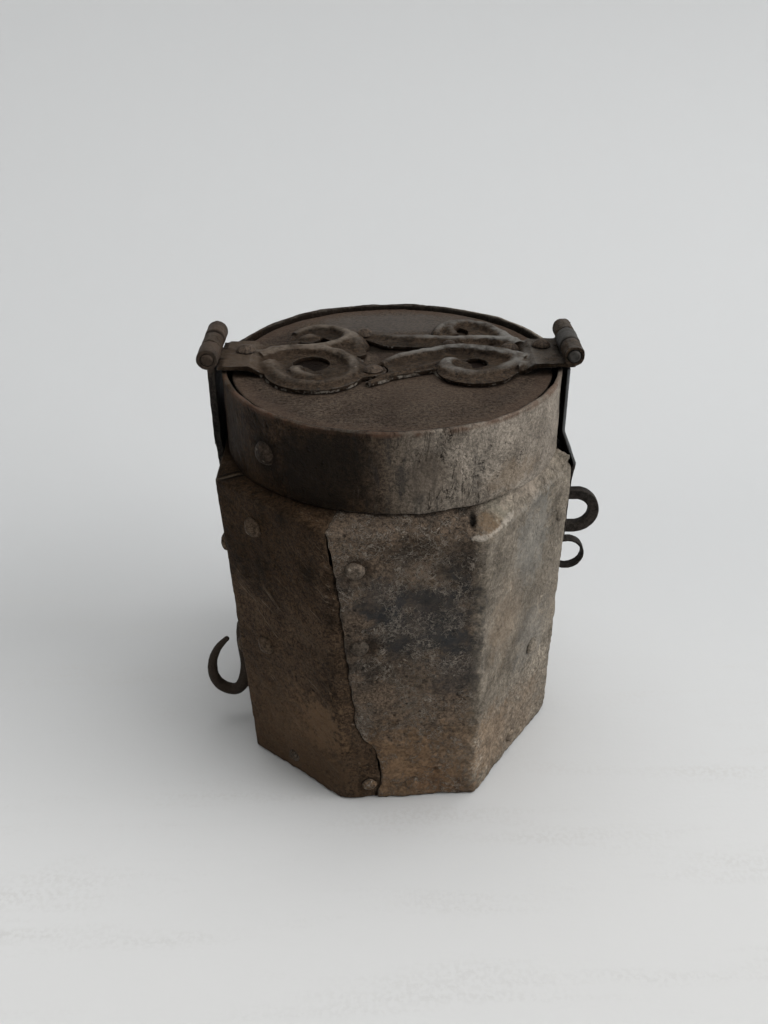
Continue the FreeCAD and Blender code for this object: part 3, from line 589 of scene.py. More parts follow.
front_iron = rusty_iron(
    "front_sheet_iron", dark=(0.029, 0.023, 0.018), brown=(0.095, 0.069, 0.049), pale=GREY_IRON, worn=0.42,
    flake=62.0)
tree = front_iron["tree"]
across = parts(tree, front_iron["where"])
# Paler on the right-hand panel, which faces the window: partly rubbed grey, partly a painted sheen of the window
# light.
side = between(tree, across[0], CORNER_FROM, CORNER_TO)
rubbed_and_lit_side = use(
    tree, "scaled skin", Place=front_iron["where"], Dark=(0.080, 0.067, 0.051), Brown=(0.186, 0.159, 0.126),
    Pale=(0.30, 0.275, 0.232), Worn=0.5, Fleck=0.55)["Color"]
painted(front_iron, side, rubbed_and_lit_side)
tinted(
    front_iron,
    ((0.008, -0.087, 0.116), (0.030, 0.04, 0.028), BLUE_BLACK, 0.65, 1.8),
    ((-0.012, -0.089, 0.130), (0.016, 0.03, 0.015), BLUE_BLACK, 0.50, 1.8),
    ((0.024, -0.084, 0.090), (0.016, 0.03, 0.026), BLUE_BLACK, 0.50, 1.8),
    ((0.060, -0.046, 0.135), (0.016, 0.03, 0.030), (0.185, 0.183, 0.170), 0.40, 2.0),
    ((0.066, -0.040, 0.070), (0.014, 0.03, 0.024), (0.140, 0.138, 0.130), 0.35, 2.0),
    ((0.048, -0.066, 0.100), (0.012, 0.03, 0.030), (0.200, 0.148, 0.102), 0.40, 2.0),
    ((0.037, -0.078, 0.1625), (0.008, 0.010, 0.006), OCHRE, 0.60, 2.0),
    # Painted highlight along the shoulder fold of the right-hand panel.
    ((0.044, -0.066, 0.1655), (0.010, 0.012, 0.006), (0.27, 0.245, 0.19), 0.45, 2.0),
    ((0.044, -0.074, 0.028), (0.014, 0.03, 0.030), (0.205, 0.138, 0.085), 0.50, 1.6),
    ((-0.004, -0.086, 0.020), (0.040, 0.03, 0.036), (0.160, 0.098, 0.054), 0.65, 1.8),
    ((0.020, -0.085, 0.012), (0.020, 0.03, 0.018), RUST, 0.50, 1.8),
    ((0.029, -0.082, 0.030), (0.013, 0.03, 0.032), (0.165, 0.112, 0.070), 0.50, 1.8),
    ((0.062, -0.050, 0.018), (0.030, 0.04, 0.030), (0.140, 0.102, 0.070), 0.62, 1.8),
    # Painted highlight along the shoulder fold of the right-hand panel.
    ((0.060, -0.050, 0.1660), (0.026, 0.03, 0.0060), (0.290, 0.240, 0.190), 0.70, 2.4))
tinted(
    front_iron, ((0.000, -0.089, 0.157), (0.032, 0.03, 0.009), (0.70, 0.67, 0.64), 0.8, 1.4), how="MULTIPLY")
speckle = noise(tree, front_iron["where"], scale=520.0, detail=4.0, rough=0.7)
speckle = grey(tree, between(tree, speckle, 0.36, 0.64, 0.66, 1.38))
painted(front_iron, between(tree, across[2], 0.085, 0.040), speckle, how="MULTIPLY")
# Painted highlights along the front's shoulder fold.
for centre, size, strength in (
        ((-0.0089, -0.0785, 0.1582), (0.046, 0.0030, 0.0013), 0.20),
        ((-0.0400, -0.0785, 0.1604), (0.016, 0.0040, 0.0013), 0.62),
        ((-0.0530, -0.0760, 0.1602), (0.005, 0.0040, 0.0014), 0.55)):
    painted(front_iron, spot_mask(front_iron, centre, size, 2.6, CREASE_TURN), CREASE_HIGHLIGHT, strength)
# Painted shade in the crack at the shoulder fold over the right corner.
tinted(front_iron, ((0.0291, -0.0785, 0.1650), (0.0022, 0.0066, 0.0040), (0.004, 0.003, 0.002), 0.98, 0.5))
# Raised wrinkles with a painted highlight on them, where side light would glint.
for scale, share in ((170.0, 0.70), (330.0, 0.60)):
    wrinkle = use(tree, "wrinkles", Place=front_iron["where"], Scale=scale)["Line"]
    wrinkle = times(tree, wrinkle, between(tree, side, 0.0, 1.0, 1.0, 0.25))
    painted(front_iron, wrinkle, WRINKLE_HIGHLIGHT, share)
    raised(front_iron, wrinkle, WRINKLE_RISE)
for place in ((-0.0208, -0.0905, 0.1474), (-0.0185, -0.0885, 0.1022)):
    tinted(front_iron, (place, (0.0085, 0.0085, 0.0080), RIVET_SHADOW, 0.85, 1.0), how="MULTIPLY")
front_finish = finished(
    front_iron, edge=EDGE_WEAR_AND_HIGHLIGHT, edge_strength=0.7, depth=0.0011, strength=1.0, sheen=0.06)

# Front sheet: bent round the right corner. Its left edge is ragged, and the lower corner has rusted away
# round a tongue of the sheet beside it; the shoulder is cracked at the fold and has a loose flap.
FRONT_SLIT = ((-0.0350, -0.0898, 0.1646), (-0.0296, -0.0734, 0.1675))
TORN_EDGE = (
    (-0.0347, 0.1650), (-0.0341, 0.158), (-0.0334, 0.150), (-0.0313, 0.133), (-0.0297, 0.112),
    (-0.0280, 0.091), (-0.0266, 0.075), (-0.0255, 0.061), (-0.0257, 0.0545), (-0.0220, 0.043),
    (-0.0166, 0.036), (-0.0142, 0.027), (-0.0123, 0.016), (-0.0145, 0.006), (-0.0156, -0.004),
    (-0.0500, -0.004), (-0.0500, 0.1650))
TORN_FRONT = -0.098
TORN_DEPTH = 0.020
TORN_COARSE, TORN_FINE = 0.0015, 0.0008
FRONT_FINE, FRONT_VOXEL = 0.0007, 0.0009
TONGUE_THIN = 0.0003
TONGUE_BACK = 0.0004
CRACK_AND_DENTS = (
    ((0.0294, -0.0745, 0.1669), 0.0013, 0.0012), ((0.0288, -0.0770, 0.1658), 0.0016, 0.0016),
    ((0.0289, -0.0800, 0.1645), 0.0018, 0.0018), ((0.0295, -0.0826, 0.1632), 0.0014, 0.0013),
    ((0.0147, -0.0839, 0.0188), 0.0030, 0.0011), ((-0.0245, -0.0880, 0.0608), 0.0018, 0.0014),
    ((-0.0150, -0.0862, 0.0330), 0.0018, 0.0014))
FLAP_PLACE = (0.0772, -0.0172, 0.1636)
FLAP_SIZE = (0.0098, 0.0014, 0.0062)
FLAP_TURN = (-22, 32.4, 0)
FRONT_DENTS = ((0.030, 0.0012), (0.012, 0.0022, "Y", 0.5), (0.0075, 0.0009), (0.0032, 0.0005))

front = wrought_copy("plate_front", "front_sheet")
slit_backed(front, FRONT_SLIT)
bpy.ops.object.select_all(action="DESELECT")
bpy.ops.mesh.primitive_circle_add(vertices=len(TORN_EDGE), radius=0.05, fill_type="NGON")
corner = bpy.context.object
for spot, (x, z) in zip(corner.data.vertices, TORN_EDGE):
    spot.co = (x, TORN_FRONT, z)
bpy.ops.object.mode_set(mode="EDIT")
bpy.ops.mesh.select_all(action="SELECT")
bpy.ops.mesh.extrude_region_move(TRANSFORM_OT_translate={"value": (0, TORN_DEPTH, 0)})
bpy.ops.mesh.select_all(action="SELECT")
bpy.ops.mesh.normals_make_consistent(inside=False)
bpy.ops.object.mode_set(mode="OBJECT")
reskinned(corner, TORN_COARSE)
hammered(corner, size=0.006, depth=0.0018)
reskinned(corner, TORN_FINE)
reskinned(front, FRONT_FINE)
alone(front)
bpy.ops.object.duplicate()
tongue = bpy.context.object
changed(tongue, "BOOLEAN", operation="INTERSECT", object=corner, solver="MANIFOLD")
changed(tongue, "DISPLACE", strength=-TONGUE_THIN, mid_level=0.0)
tongue.location.y = TONGUE_BACK
bpy.ops.object.transform_apply()
cut_away(front, corner)
dented(front, CRACK_AND_DENTS)
joined(front, block(FLAP_PLACE, FLAP_SIZE, FLAP_TURN))
skinned(front, FRONT_VOXEL, 3)
for mark in FRONT_DENTS:
    hammered(front, *mark)
kept_inside(front)
fixed(front, front_finish, "body_sheet", "body", "plate_front")

# Other sheets: the broad left sheet, the narrow right one, the rear one and the two at the left corners,
# cut, hammered and riveted like the front one. The tongue belongs to the left front sheet.
LEFT_SLITS = (
    ((-0.0868, -0.0471, 0.1679), (-0.0723, -0.0387, 0.1671)),
    ((-0.0868, 0.0471, 0.1679), (-0.0723, 0.0387, 0.1671)))
RIGHT_SLITS = (
    ((0.0825, -0.0161, 0.1555), (0.0706, -0.0139, 0.1675)),
    ((0.0825, 0.0161, 0.1555), (0.0706, 0.0139, 0.1675)))
REAR_SLITS = (
    ((-0.0350, 0.0898, 0.1646), (-0.0296, 0.0734, 0.1675)),
    ((0.0350, 0.0855, 0.1592), (0.0275, 0.0699, 0.1675)))
for node, name, finish, voxel, slits in (
        ("plate_left_front", "left_front_sheet", left_finish, 0.0009, ()),
        ("plate_left", "left_sheet", left_finish, 0.0011, LEFT_SLITS),
        ("plate_right", "right_sheet", front_finish, 0.0010, RIGHT_SLITS),
        ("plate_rear", "rear_sheet", front_finish, 0.0011, REAR_SLITS),
        ("plate_left_rear", "left_rear_sheet", left_finish, 0.0011, ())):
    sheet = wrought_copy(node, name)
    slit_backed(sheet, *slits)
    if node == "plate_left_front":
        joined(sheet, tongue)
    skinned(sheet, voxel, 3)
    hammered(sheet, 0.030, 0.0010)
    if node in ("plate_left_front", "plate_left_rear", "plate_rear"):
        hammered(sheet, 0.012, 0.0018, "Y", 0.5)
    hammered(sheet, 0.0075, 0.0006)
    kept_inside(sheet)
    fixed(sheet, finish, "body_sheet", "body", node)

# Bottom pan and corner angles: bent sheet inside the body, riveted through it and
# seen only with the lid open or from underneath. They keep their built shape.
for node in ("bottom_plate", "corner_angle_front", "corner_angle_rear"):
    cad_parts[node].data.materials.clear()
    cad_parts[node].data.materials.append(left_finish)


# Collar: a band of sheet bent round and riveted to the tabs of the body sheets. Its upper edge is worn
# and uneven; the front left is sooty, and the right side is rubbed to a light grey brown and paler still with a
# painted sheen where the window light falls. The inside of its wall carries painted shade.
COLLAR_MIDDLE = -0.0054
COLLAR_OVAL = 0.014
COLLAR_VOXEL = 0.0008
COLLAR_WALL_FROM, COLLAR_WALL_TO = 0.0801, 0.0794
RIM_FROM, RIM_TO = 0.2055, 0.2078
SOOT = (0.018, 0.018, 0.018)
DRIP_COLOUR = (0.014, 0.009, 0.006)
SCRAPED_COLOUR = (0.150, 0.122, 0.096)
RIM_COLOUR = (0.080, 0.043, 0.027)
INNER_WALL_SHADE = (0.010, 0.007, 0.005)
COLLAR_DENTS = ((0.035, 0.0010), (0.011, 0.0010), (0.030, 0.0010, "Z", 1.0))


def from_middle(tree, where):
    """Distance from the upright through the collar's middle."""
    offset = stretched(tree, where, (1, 1, 0), (0, 0, 0), (-COLLAR_MIDDLE, 0, 0))
    return put(tree, "ShaderNodeVectorMath", {"operation": "LENGTH"}, offset).outputs[1]


collar_iron = rusty_iron(
    "collar_iron", dark=(0.012, 0.007, 0.004), brown=(0.034, 0.021, 0.012), pale=(0.080, 0.062, 0.046),
    worn=0.28, flake=58.0)
tree, where = collar_iron["tree"], collar_iron["where"]
drip = noise(tree, stretched(tree, where, (150, 150, 14)), scale=1.0, detail=5.0, rough=0.6)
painted(collar_iron, between(tree, drip, 0.50, 0.72, 0.0, 0.55), DRIP_COLOUR)
across = parts(tree, where)
# Paler toward the right, which faces the window: partly rubbed grey brown, partly a painted sheen of the window
# light.
rubbed_and_lit = between(tree, weighed(tree, (across[0], 1), (drip, 0.012)), -0.020, 0.036)
pale_rubbed_and_lit = use(
    tree, "scaled skin", Place=where, Dark=(0.112, 0.095, 0.077), Brown=(0.216, 0.187, 0.154),
    Pale=(0.300, 0.275, 0.236), Worn=0.36, Fleck=0.55)["Color"]
painted(collar_iron, rubbed_and_lit, pale_rubbed_and_lit, 0.9)
middle = times(
    tree, between(tree, across[0], -0.045, -0.020), between(tree, across[0], 0.045, 0.015, 0.15, 1.0))
run_down = noise(
    tree, stretched(tree, where, (110, 110, 24), (0, 0, 0), (3, 1, 2)), scale=1.0, detail=6.0, rough=0.66)
painted(collar_iron, times(tree, between(tree, run_down, 0.52, 0.60), middle), SOOT, 0.60)
scraped = times(tree, between(tree, run_down, 0.44, 0.36), middle)
painted(collar_iron, scraped, SCRAPED_COLOUR, 0.45)
raised(collar_iron, scraped, 0.6)
tinted(
    collar_iron,
    ((-0.036, -0.074, 0.186), (0.026, 0.03, 0.030), (0.010, 0.008, 0.006), 0.75, 0.9),
    ((-0.0625, -0.0571, 0.1879), (0.0105, 0.0105, 0.0115), (0.006, 0.004, 0.003), 0.85, 0.5),
    ((0.010, -0.079, 0.186), (0.012, 0.02, 0.016), (0.085, 0.066, 0.050), 0.45, 1.2),
    ((0.045, -0.060, 0.178), (0.020, 0.02, 0.008), (0.15, 0.108, 0.070), 0.40, 1.6))
rim = times(
    tree, between(tree, across[2], RIM_FROM, RIM_TO), between(tree, across[1], 0.04, -0.03, 0.15, 1.0),
    between(tree, noise(tree, where, scale=90.0, detail=4.0), 0.36, 0.60))
painted(collar_iron, rim, RIM_COLOUR, 0.75)
# Painted shade on the inside of the collar's wall.
painted(
    collar_iron, between(tree, from_middle(tree, where), COLLAR_WALL_FROM, COLLAR_WALL_TO, 0.0, 0.9),
    INNER_WALL_SHADE)
crack = noise(tree, stretched(tree, where, (170, 170, 45)), scale=1.0, detail=4.0, rough=0.6, swirl=1.2)
crack = times(
    tree, between(tree, crack, 0.487, 0.499), between(tree, crack, 0.513, 0.501),
    between(tree, noise(tree, where, scale=35.0, detail=2.0), 0.52, 0.60))
painted(collar_iron, crack, CRACK_AND_SHADE_COLOUR, 0.8)
raised(collar_iron, crack, -0.8)
collar_finish = finished(
    collar_iron, edge=EDGE_WEAR_AND_HIGHLIGHT, edge_strength=0.55, depth=0.0011, strength=1.0, sheen=0.05)

collar = wrought_copy("collar_band", "collar")
alone(collar)
collar.scale.x = 1 + COLLAR_OVAL
collar.location.x = -COLLAR_MIDDLE * COLLAR_OVAL
bpy.ops.object.transform_apply()
skinned(collar, COLLAR_VOXEL, 3)
for mark in COLLAR_DENTS:
    hammered(collar, *mark)
kept_inside(collar)
fixed(collar, collar_finish, "collar_sheet", "body", "collar_band")


# Rivets of the body and collar: round heads hammered over by hand, so no two are quite alike,
# with painted shade in the seams round them and rubbed on the crown.
SEAM_SIDE_FROM, SEAM_SIDE_TO = 0.031, 0.039
RIVET_VOXEL = 0.0004

rivet_iron = rusty_iron(
    "rivet_iron", dark=(0.018, 0.012, 0.008), brown=(0.050, 0.036, 0.026), pale=(0.12, 0.10, 0.078),
    worn=0.42, flake=120.0, pits=0.05)
rivet_finish = finished(rivet_iron, edge=(0.16, 0.135, 0.11), edge_strength=0.75, depth=0.0004)
seam_iron = rusty_iron(
    "seam_rivet_iron", dark=(0.032, 0.025, 0.019), brown=(0.090, 0.070, 0.053), pale=(0.21, 0.185, 0.150),
    worn=0.55, flake=120.0, pits=0.05)
tree, where = seam_iron["tree"], seam_iron["where"]
# Rivets on the right-hand panel are paler like it: partly rubbed grey, partly a painted sheen of the window
# light.
rubbed_and_lit_side = use(
    tree, "scaled skin", Place=where, Dark=(0.095, 0.081, 0.064), Brown=(0.176, 0.151, 0.121),
    Pale=(0.27, 0.248, 0.21), Worn=0.5, Fleck=0.55)["Color"]
painted(seam_iron, between(tree, parts(tree, where)[0], SEAM_SIDE_FROM, SEAM_SIDE_TO), rubbed_and_lit_side)
seam_finish = finished(
    seam_iron, edge=(0.28, 0.243, 0.20), edge_strength=0.85, depth=0.0005, strength=0.9, sheen=0.08)
angle_iron = rusty_iron(
    "angle_rivet_iron", dark=(0.026, 0.018, 0.012), brown=(0.070, 0.049, 0.033), pale=(0.15, 0.118, 0.088),
    worn=0.50, flake=120.0, pits=0.05)
angle_finish = finished(
    angle_iron, edge=(0.20, 0.165, 0.13), edge_strength=0.9, depth=0.0005, strength=0.9, sheen=0.05)
for node, finish, growth in (
        ("seam_rivets_front", seam_finish, 0.0008), ("seam_rivets_rear", seam_finish, 0.0008),
        ("angle_rivets_front", angle_finish, 0.0007), ("angle_rivets_rear", angle_finish, 0.0007),
        ("bottom_rivets_front", front_finish, 0.0006), ("bottom_rivets_rear", front_finish, 0.0006),
        ("collar_rivets", rivet_finish, 0.0016), ("hinge_leaf_rivets", rivet_finish, 0.0003),
        ("hook_rivet", rivet_finish, 0.0003)):
    heads = wrought_copy(node, node.replace("rivet", "hammered_rivet"))
    changed(heads, "DISPLACE", strength=growth, mid_level=0.0)
    skinned(heads, RIVET_VOXEL, 2)
    hammered(heads, 0.0035, 0.0010)
    kept_inside(heads)
    fixed(heads, finish, "rivets", "body", node)


# Lid: a flat disc of sheet let into the collar, dull grey brown and rubbed by the hand,
# with rust creeping in from the rim.
LID_RUST = (0.066, 0.044, 0.032)
LID_VOXEL = 0.0008

lid_iron = rusty_iron(
    "lid_iron", dark=(0.028, 0.020, 0.015), brown=(0.046, 0.034, 0.025), pale=(0.080, 0.067, 0.056), worn=0.33,
    flake=48.0, pits=0.06)
tree, where = lid_iron["tree"], lid_iron["where"]
reach = weighed(tree, (from_middle(tree, where), 1), (noise(tree, where, scale=60.0, detail=5.0), 0.014))
painted(lid_iron, between(tree, reach, 0.074, 0.083, 0.0, 0.5), LID_RUST)
tinted(
    lid_iron,
    ((0.010, -0.030, 0.2065), (0.050, 0.022, 0.02), (0.060, 0.043, 0.032), 0.35, 1.4),
    ((-0.002, 0.055, 0.2065), (0.055, 0.020, 0.02), (0.078, 0.074, 0.070), 0.40, 1.2),
    # These three: painted shade on the lid inside the eyes of the scrolls and in the gap between the tendrils.
    ((-0.0458, -0.0040, 0.2068), (0.013, 0.013, 0.0016), (0.006, 0.004, 0.003), 0.97, 0.2),
    ((0.0345, -0.0050, 0.2068), (0.010, 0.009, 0.0016), (0.008, 0.005, 0.004), 0.95, 0.2),
    ((-0.0078, 0.0195, 0.2068), (0.020, 0.009, 0.0016), (0.008, 0.006, 0.004), 0.9, 0.3))
lid_finish = finished(lid_iron, edge=(0.12, 0.10, 0.082), edge_strength=0.5, strength=0.9, sheen=0.03)

lid = wrought_copy("lid_plate", "lid")
skinned(lid, LID_VOXEL, 3)
hammered(lid, 0.040, 0.0008)
hammered(lid, 0.010, 0.0003)
fixed(lid, lid_finish, "lid_sheet", "lid", "lid_plate")


# Scrolled straps: thick iron forged into volutes and leaf tendrils that lie on the lid, hollowed and raised
# from behind. The tops of the scrolls carry a painted highlight, lighter and bluer on the right where the window
# falls, and so do their low front rims; their slopes carry painted shade, and the hollows are dark with brown
# rust and painted shade.
LID_TOP = 0.2065
LID_CENTRE = -0.0054
BARREL_AXES = ((-0.0916, 0.2168), (0.0792, 0.2168))
BARREL_MIDDLE = 0.0062
BARREL_REACH = (0.0040, 0.0064)
KNUCKLE_END = 0.00668
GROOVE_HALF = 0.0012
GROOVE_DEPTH = 0.0010


def groove_shaded(iron):
    """Paints shade into the rings between the knuckles of both barrels."""
    tree = iron["tree"]
    across = parts(tree, iron["where"])
    along = sums(tree, "ABSOLUTE", across[1])
    out = sums(tree, "ABSOLUTE", sums(tree, "ADD", across[0], BARREL_MIDDLE))
    ring = times(
        tree, between(tree, along, 0.0055, 0.0064), between(tree, along, 0.0080, 0.0071),
        between(tree, out, 0.0780, 0.0800), between(tree, across[2], 0.2108, 0.2118))
    painted(iron, ring, CRACK_AND_SHADE_COLOUR, 0.85)


def pinched(piece):
    """Draws the ends of the knuckles in towards the pins, so that grooves show between them."""
    least, most = BARREL_REACH
    for corner in piece.data.vertices:
        near = 1 - abs(abs(corner.co.y) - KNUCKLE_END) / GROOVE_HALF
        for x, z in BARREL_AXES:
            out = Vector((corner.co.x - x, 0, corner.co.z - z))
            if near > 0 and least < out.length < most:
                corner.co -= out.normalized() * GROOVE_DEPTH * near


# Painted highlight colours for the ridge tops and the front rims, and painted shade for the slopes.
LEFT_CROWN_HIGHLIGHT = (0.130, 0.106, 0.084)
RIGHT_CROWN_HIGHLIGHT = (0.180, 0.173, 0.160)
SLOPE_SHADE = (0.34, 0.28, 0.23)
LIP_HIGHLIGHT = (0.30, 0.27, 0.23)

strap_iron = rusty_iron(
    "strap_iron", dark=(0.012, 0.008, 0.005), brown=(0.034, 0.023, 0.015), pale=(0.080, 0.070, 0.058), worn=0.36,
    flake=110.0, pits=0.08)
tinted(strap_iron, ((-0.076, 0.0, 0.211), (0.022, 0.03, 0.02), (0.046, 0.030, 0.019), 0.55, 1.2))
tree, where = strap_iron["tree"], strap_iron["where"]
across = parts(tree, where)
level = parts(tree, where.node.outputs["Normal"])[2]
inward = sums(tree, "ABSOLUTE", sums(tree, "SUBTRACT", across[0], LID_CENTRE))
patchy = noise(tree, where, scale=130.0, detail=5.0, rough=0.65)
# Painted highlight on the tops of the ridges, lighter and bluer on the right, which faces the window.
crown_highlight = times(
    tree, between(tree, across[2], LID_TOP + 0.0028, LID_TOP + 0.0052),
    between(tree, patchy, 0.34, 0.58, 0.25, 1.0), between(tree, level, 0.74, 0.97),
    between(tree, inward, 0.070, 0.062, 0.25, 1.0))
rubbed_and_lit = mixed(tree, between(tree, across[0], -0.04, 0.02), LEFT_CROWN_HIGHLIGHT, RIGHT_CROWN_HIGHLIGHT)
painted(strap_iron, crown_highlight, rubbed_and_lit, 0.75)
# Painted shade on the slopes of the ridges.
slope = times(tree, between(tree, level, 0.86, 0.35), between(tree, inward, 0.078, 0.070))
painted(strap_iron, slope, SLOPE_SHADE, 0.8, "MULTIPLY")
# Painted highlight along the low front rims of the straps.
broken = noise(tree, where, scale=210.0, detail=5.0, rough=0.7)
lip = times(
    tree, between(tree, across[2], LID_TOP + 0.0020, LID_TOP + 0.0008), between(tree, broken, 0.49, 0.60),
    between(tree, across[1], -0.008, -0.016))
painted(strap_iron, lip, LIP_HIGHLIGHT, 0.75)
groove_shaded(strap_iron)
strap_finish = finished(
    strap_iron, edge=(0.150, 0.143, 0.132), hollow=(0.008, 0.005, 0.003), edge_strength=0.9, strength=1.0,
    sheen=0.05)


def band(points):
    """Round-backed band of iron on the lid through points of (x, y, height, half width) in mm from its middle."""
    line = bpy.data.curves.new("band", "CURVE")
    line.dimensions = "3D"
    line.bevel_depth = 0.001
    line.bevel_resolution = 8
    line.use_fill_caps = True
    line.resolution_u = 8
    run = line.splines.new("BEZIER")
    run.bezier_points.add(len(points) - 1)
    for spot, (x, y, height, half) in zip(run.bezier_points, points):
        radius = (half * half + height * height) / (2 * height)
        spot.co = (LID_CENTRE + x / 1000, y / 1000, LID_TOP + (height - radius) / 1000)
        spot.radius = radius
        spot.handle_left_type = "AUTO"
        spot.handle_right_type = "AUTO"
    piece = bpy.data.objects.new("band", line)
    bpy.context.scene.collection.objects.link(piece)
    alone(piece)
    bpy.ops.object.convert(target="MESH")
    return bpy.context.object


BAND_SINK = 0.0006
LIP_LOW = 0.2097
LIP_HIGH = 0.2123
RIB_SPACE = (0.118, 0.16, 0.020)
RIB_SPACE_RISE = 0.0125
BELOW_LID = (0.22, 0.2, 0.1)
STRAP_VOXEL = 0.0005


def forged_strap(node, name, lips, bands):
    """Strap with its shank and knuckles as built and its ribs forged anew from bands.

    Lips of (x from, x to, y from, y to) close it up to the barrel."""
    strap = wrought_copy(node, name)
    cut_away(strap, block((LID_CENTRE, 0, LID_TOP + RIB_SPACE_RISE), RIB_SPACE))
    pieces = [band(points) for points in bands]
    for x0, x1, y0, y1 in lips:
        pieces.append(block(
            ((x0 + x1) / 2, (y0 + y1) / 2, (LIP_LOW + LIP_HIGH) / 2), (x1 - x0, y1 - y0, LIP_HIGH - LIP_LOW)))
    joined(strap, *pieces)
    reskinned(strap, STRAP_VOXEL)
    cut_away(strap, block((LID_CENTRE, 0, LID_TOP - BAND_SINK - BELOW_LID[2] / 2), BELOW_LID))
    skinned(strap, STRAP_VOXEL, 3)
    hammered(strap, 0.012, 0.0007, "NORMAL", 0.7)
    hammered(strap, 0.004, 0.0006, "NORMAL", 0.7)
    pinched(strap)
    kept_inside(strap)
    fixed(strap, strap_finish, "scroll_straps", "lid", node)


forged_strap("scroll_strap_left", "left_scroll_strap", [
    (-0.0884, -0.0840, -0.0160, -0.0060), (-0.0884, -0.0840, 0.0060, 0.0160),
], [
    [(-64, 3, 6.0, 7), (-55, 9, 5.8, 5.5), (-47, 10.8, 5.8, 5), (-38, 10.5, 5.8, 5), (-28, 6, 5.6, 5),
     (-21, -1.5, 5.2, 5), (-18, -11, 4.8, 5), (-20, -20, 4.2, 5), (-28, -27, 3.8, 5), (-40, -29, 3.8, 5.5),
     (-50, -24, 4.2, 6.5), (-55, -14, 4.6, 7), (-60, -5, 5.4, 7.5)],
    [(-33, -21, 3.4, 3), (-40, -21, 4.6, 4.5), (-45, -18, 5.4, 5), (-45.5, -13.5, 5.2, 4.5),
     (-42.5, -11, 4.4, 3.5)],
    [(-60, 9, 5.6, 6), (-46, 11.5, 5.6, 5), (-35, 14.5, 5.2, 4.5), (-27, 19, 5.2, 4.5), (-22.5, 26, 5.2, 4.5),
     (-23, 33, 5.2, 4.5), (-28, 38.5, 5.0, 4.4), (-35, 40.5, 5.0, 4.2), (-43, 38.5, 4.8, 4),
     (-49.5, 32, 4.2, 3.6)],
    [(-46, 27.5, 3.4, 5), (-41, 29, 4.4, 5.5), (-36.5, 29, 3.0, 4)],
    [(-24, 36, 4.6, 5.5), (-19, 28, 4.8, 6), (-16.5, 19, 4.4, 6), (-18, 11, 3.2, 4.5)],
    [(-19, -10, 3.6, 7), (-9, -14, 3.0, 7)],
])
forged_strap("scroll_strap_right", "right_scroll_strap", [
    (0.0720, 0.0760, -0.0072, 0.0072),
], [
    [(64, -4, 6.0, 7), (58, 0, 6.0, 6), (50, 5, 5.8, 5), (41, 9, 5.6, 4.6), (30, 10.5, 5.5, 4.4),
     (20, 7.5, 5.2, 4.2), (10, 3.5, 5.0, 4), (1, -1.5, 4.6, 3.8), (-5, -7, 3.8, 3.2)],
    [(31, -1, 3.4, 2.4), (21, -7, 3.4, 2.4), (11, -12.5, 3.4, 2.3), (1, -18.5, 3.2, 2.2), (-7, -24, 2.9, 2),
     (-12, -28, 2.6, 1.6)],
    [(62, -4, 5.6, 7), (57.5, -9, 4.8, 6), (52, -14, 4.2, 6), (45, -18, 4.0, 6.5), (37, -19.5, 4.2, 7),
     (29.5, -17, 4.8, 7), (25.5, -11.5, 5.4, 6), (27, -6.5, 5.4, 4.5), (30.5, -4, 4.4, 3.2), (33, -4, 3.4, 2)],
    [(62, 17, 6.0, 6), (50, 22.5, 5.0, 4.6), (30, 24, 4.6, 4.4), (12, 26, 4.4, 4.4), (0, 28, 4.0, 4.6),
     (-8, 30.5, 3.6, 4.8), (-13.5, 32, 3.0, 5.2)],
    [(63, 13, 6.0, 6), (58, 24, 5.2, 5), (53.5, 35, 5.0, 4.6), (45.5, 44.5, 4.8, 4.4), (35.5, 47.5, 4.6, 4.2),
     (28, 43, 4.6, 4), (24, 36.5, 4.2, 3.6), (24, 30.5, 3.4, 3)],
    [(33, 45, 4.4, 3), (30.5, 38, 4.4, 3.6), (32.5, 30, 3.8, 4)],
])

# Lid rivets: larger iron domes, hammered over where the straps
# are fixed to the lid.
heads = wrought_copy("lid_rivets", "hammered_lid_rivets")
skinned(heads, RIVET_VOXEL, 3)
hammered(heads, 0.004, 0.0007)
fixed(heads, rivet_finish, "rivets", "lid", "lid_rivets")


# Hinge leaf, hasp, staple, hook and pins: black forged bar and strip, bent hot and left from the fire,
# rubbed brown on the barrels where the hinge turns. Painted shade darkens the grooves between the knuckles,
# and a painted highlight lies on the front edge of the hasp.
BOW_TOP = 0.1764
BOW_END = 0.1577
BOW_OUT = 0.0074
BOW_LATER = 0.66
HASP_HALF = 0.015
TWIST_RUN = 1.4
TWIST_START = 0.6
HASP_EDGE_HIGHLIGHT = (0.100, 0.105, 0.108)
FORGING_VOXEL = 0.00045

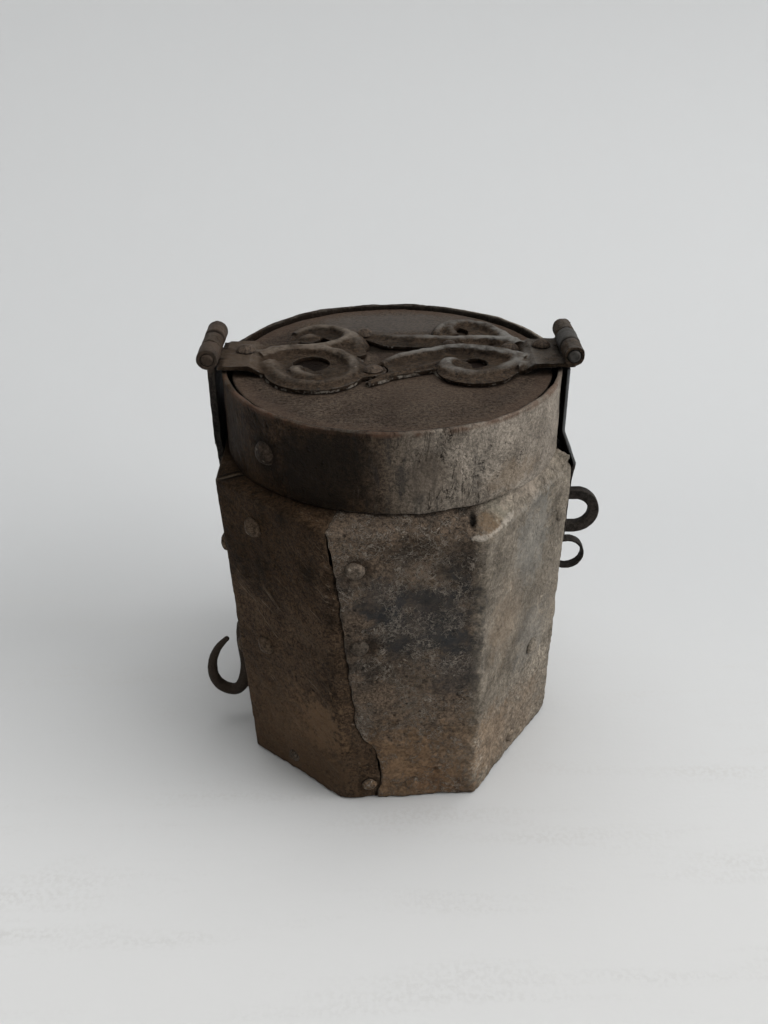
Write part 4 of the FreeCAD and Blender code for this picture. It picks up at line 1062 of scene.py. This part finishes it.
bar_iron = rusty_iron(
    "forged_iron", dark=(0.009, 0.008, 0.007), brown=(0.022, 0.018, 0.015), pale=(0.060, 0.053, 0.046), worn=0.28,
    flake=120.0, pits=0.06)
tinted(
    bar_iron,
    ((-0.0916, 0.0, 0.217), (0.012, 0.03, 0.012), (0.055, 0.038, 0.027), 0.8, 0.8),
    ((0.0792, 0.0, 0.217), (0.012, 0.03, 0.012), (0.055, 0.052, 0.048), 0.8, 0.8),
    ((-0.100, -0.020, 0.045), (0.030, 0.070, 0.050), (0.040, 0.029, 0.021), 0.7, 1.2))
tree = bar_iron["tree"]
across = parts(tree, bar_iron["where"])
# Painted highlight on the front edge of the hasp.
rim = times(
    tree, between(tree, across[1], -0.0132, -0.0142), between(tree, across[0], 0.0740, 0.0750),
    between(tree, across[2], 0.155, 0.158), between(tree, across[2], 0.2105, 0.2085))
painted(bar_iron, rim, HASP_EDGE_HIGHLIGHT, 0.85)
groove_shaded(bar_iron)
bar_finish = finished(
    bar_iron, edge=(0.10, 0.086, 0.072), hollow=(0.007, 0.005, 0.004), depth=0.0005, strength=0.9, sheen=0.06)


def twisted(hasp):
    """Leads the hasp's rear edge down beside the collar before it bows out; the front edge stays."""
    for corner in hasp.data.vertices:
        fall = (BOW_TOP - corner.co.z) / (BOW_TOP - BOW_END)
        if 0 < fall < 1:
            later = max(0, fall - BOW_LATER) / (1 - BOW_LATER)
            share = min(max(corner.co.y / HASP_HALF / TWIST_RUN + TWIST_START, 0), 1)
            corner.co.x -= (fall - later) * BOW_OUT * share


for node, name, body in (
        ("hinge_leaf", "forged_hinge_leaf", "body"), ("hasp_strap", "forged_hasp", "hasp"),
        ("lock_staple", "forged_staple", "body"), ("side_hook", "forged_hook", "body"),
        ("hinge_pin", "forged_hinge_pin", "body"), ("hasp_pin", "forged_hasp_pin", "lid")):
    forging = wrought_copy(node, name)
    skinned(forging, FORGING_VOXEL, 2)
    if node == "hasp_strap":
        twisted(forging)
    hammered(forging, 0.009, 0.0004)
    hammered(forging, 0.003, 0.0003)
    pinched(forging)
    kept_inside(forging)
    fixed(forging, bar_finish, "forged_bar", body, node)
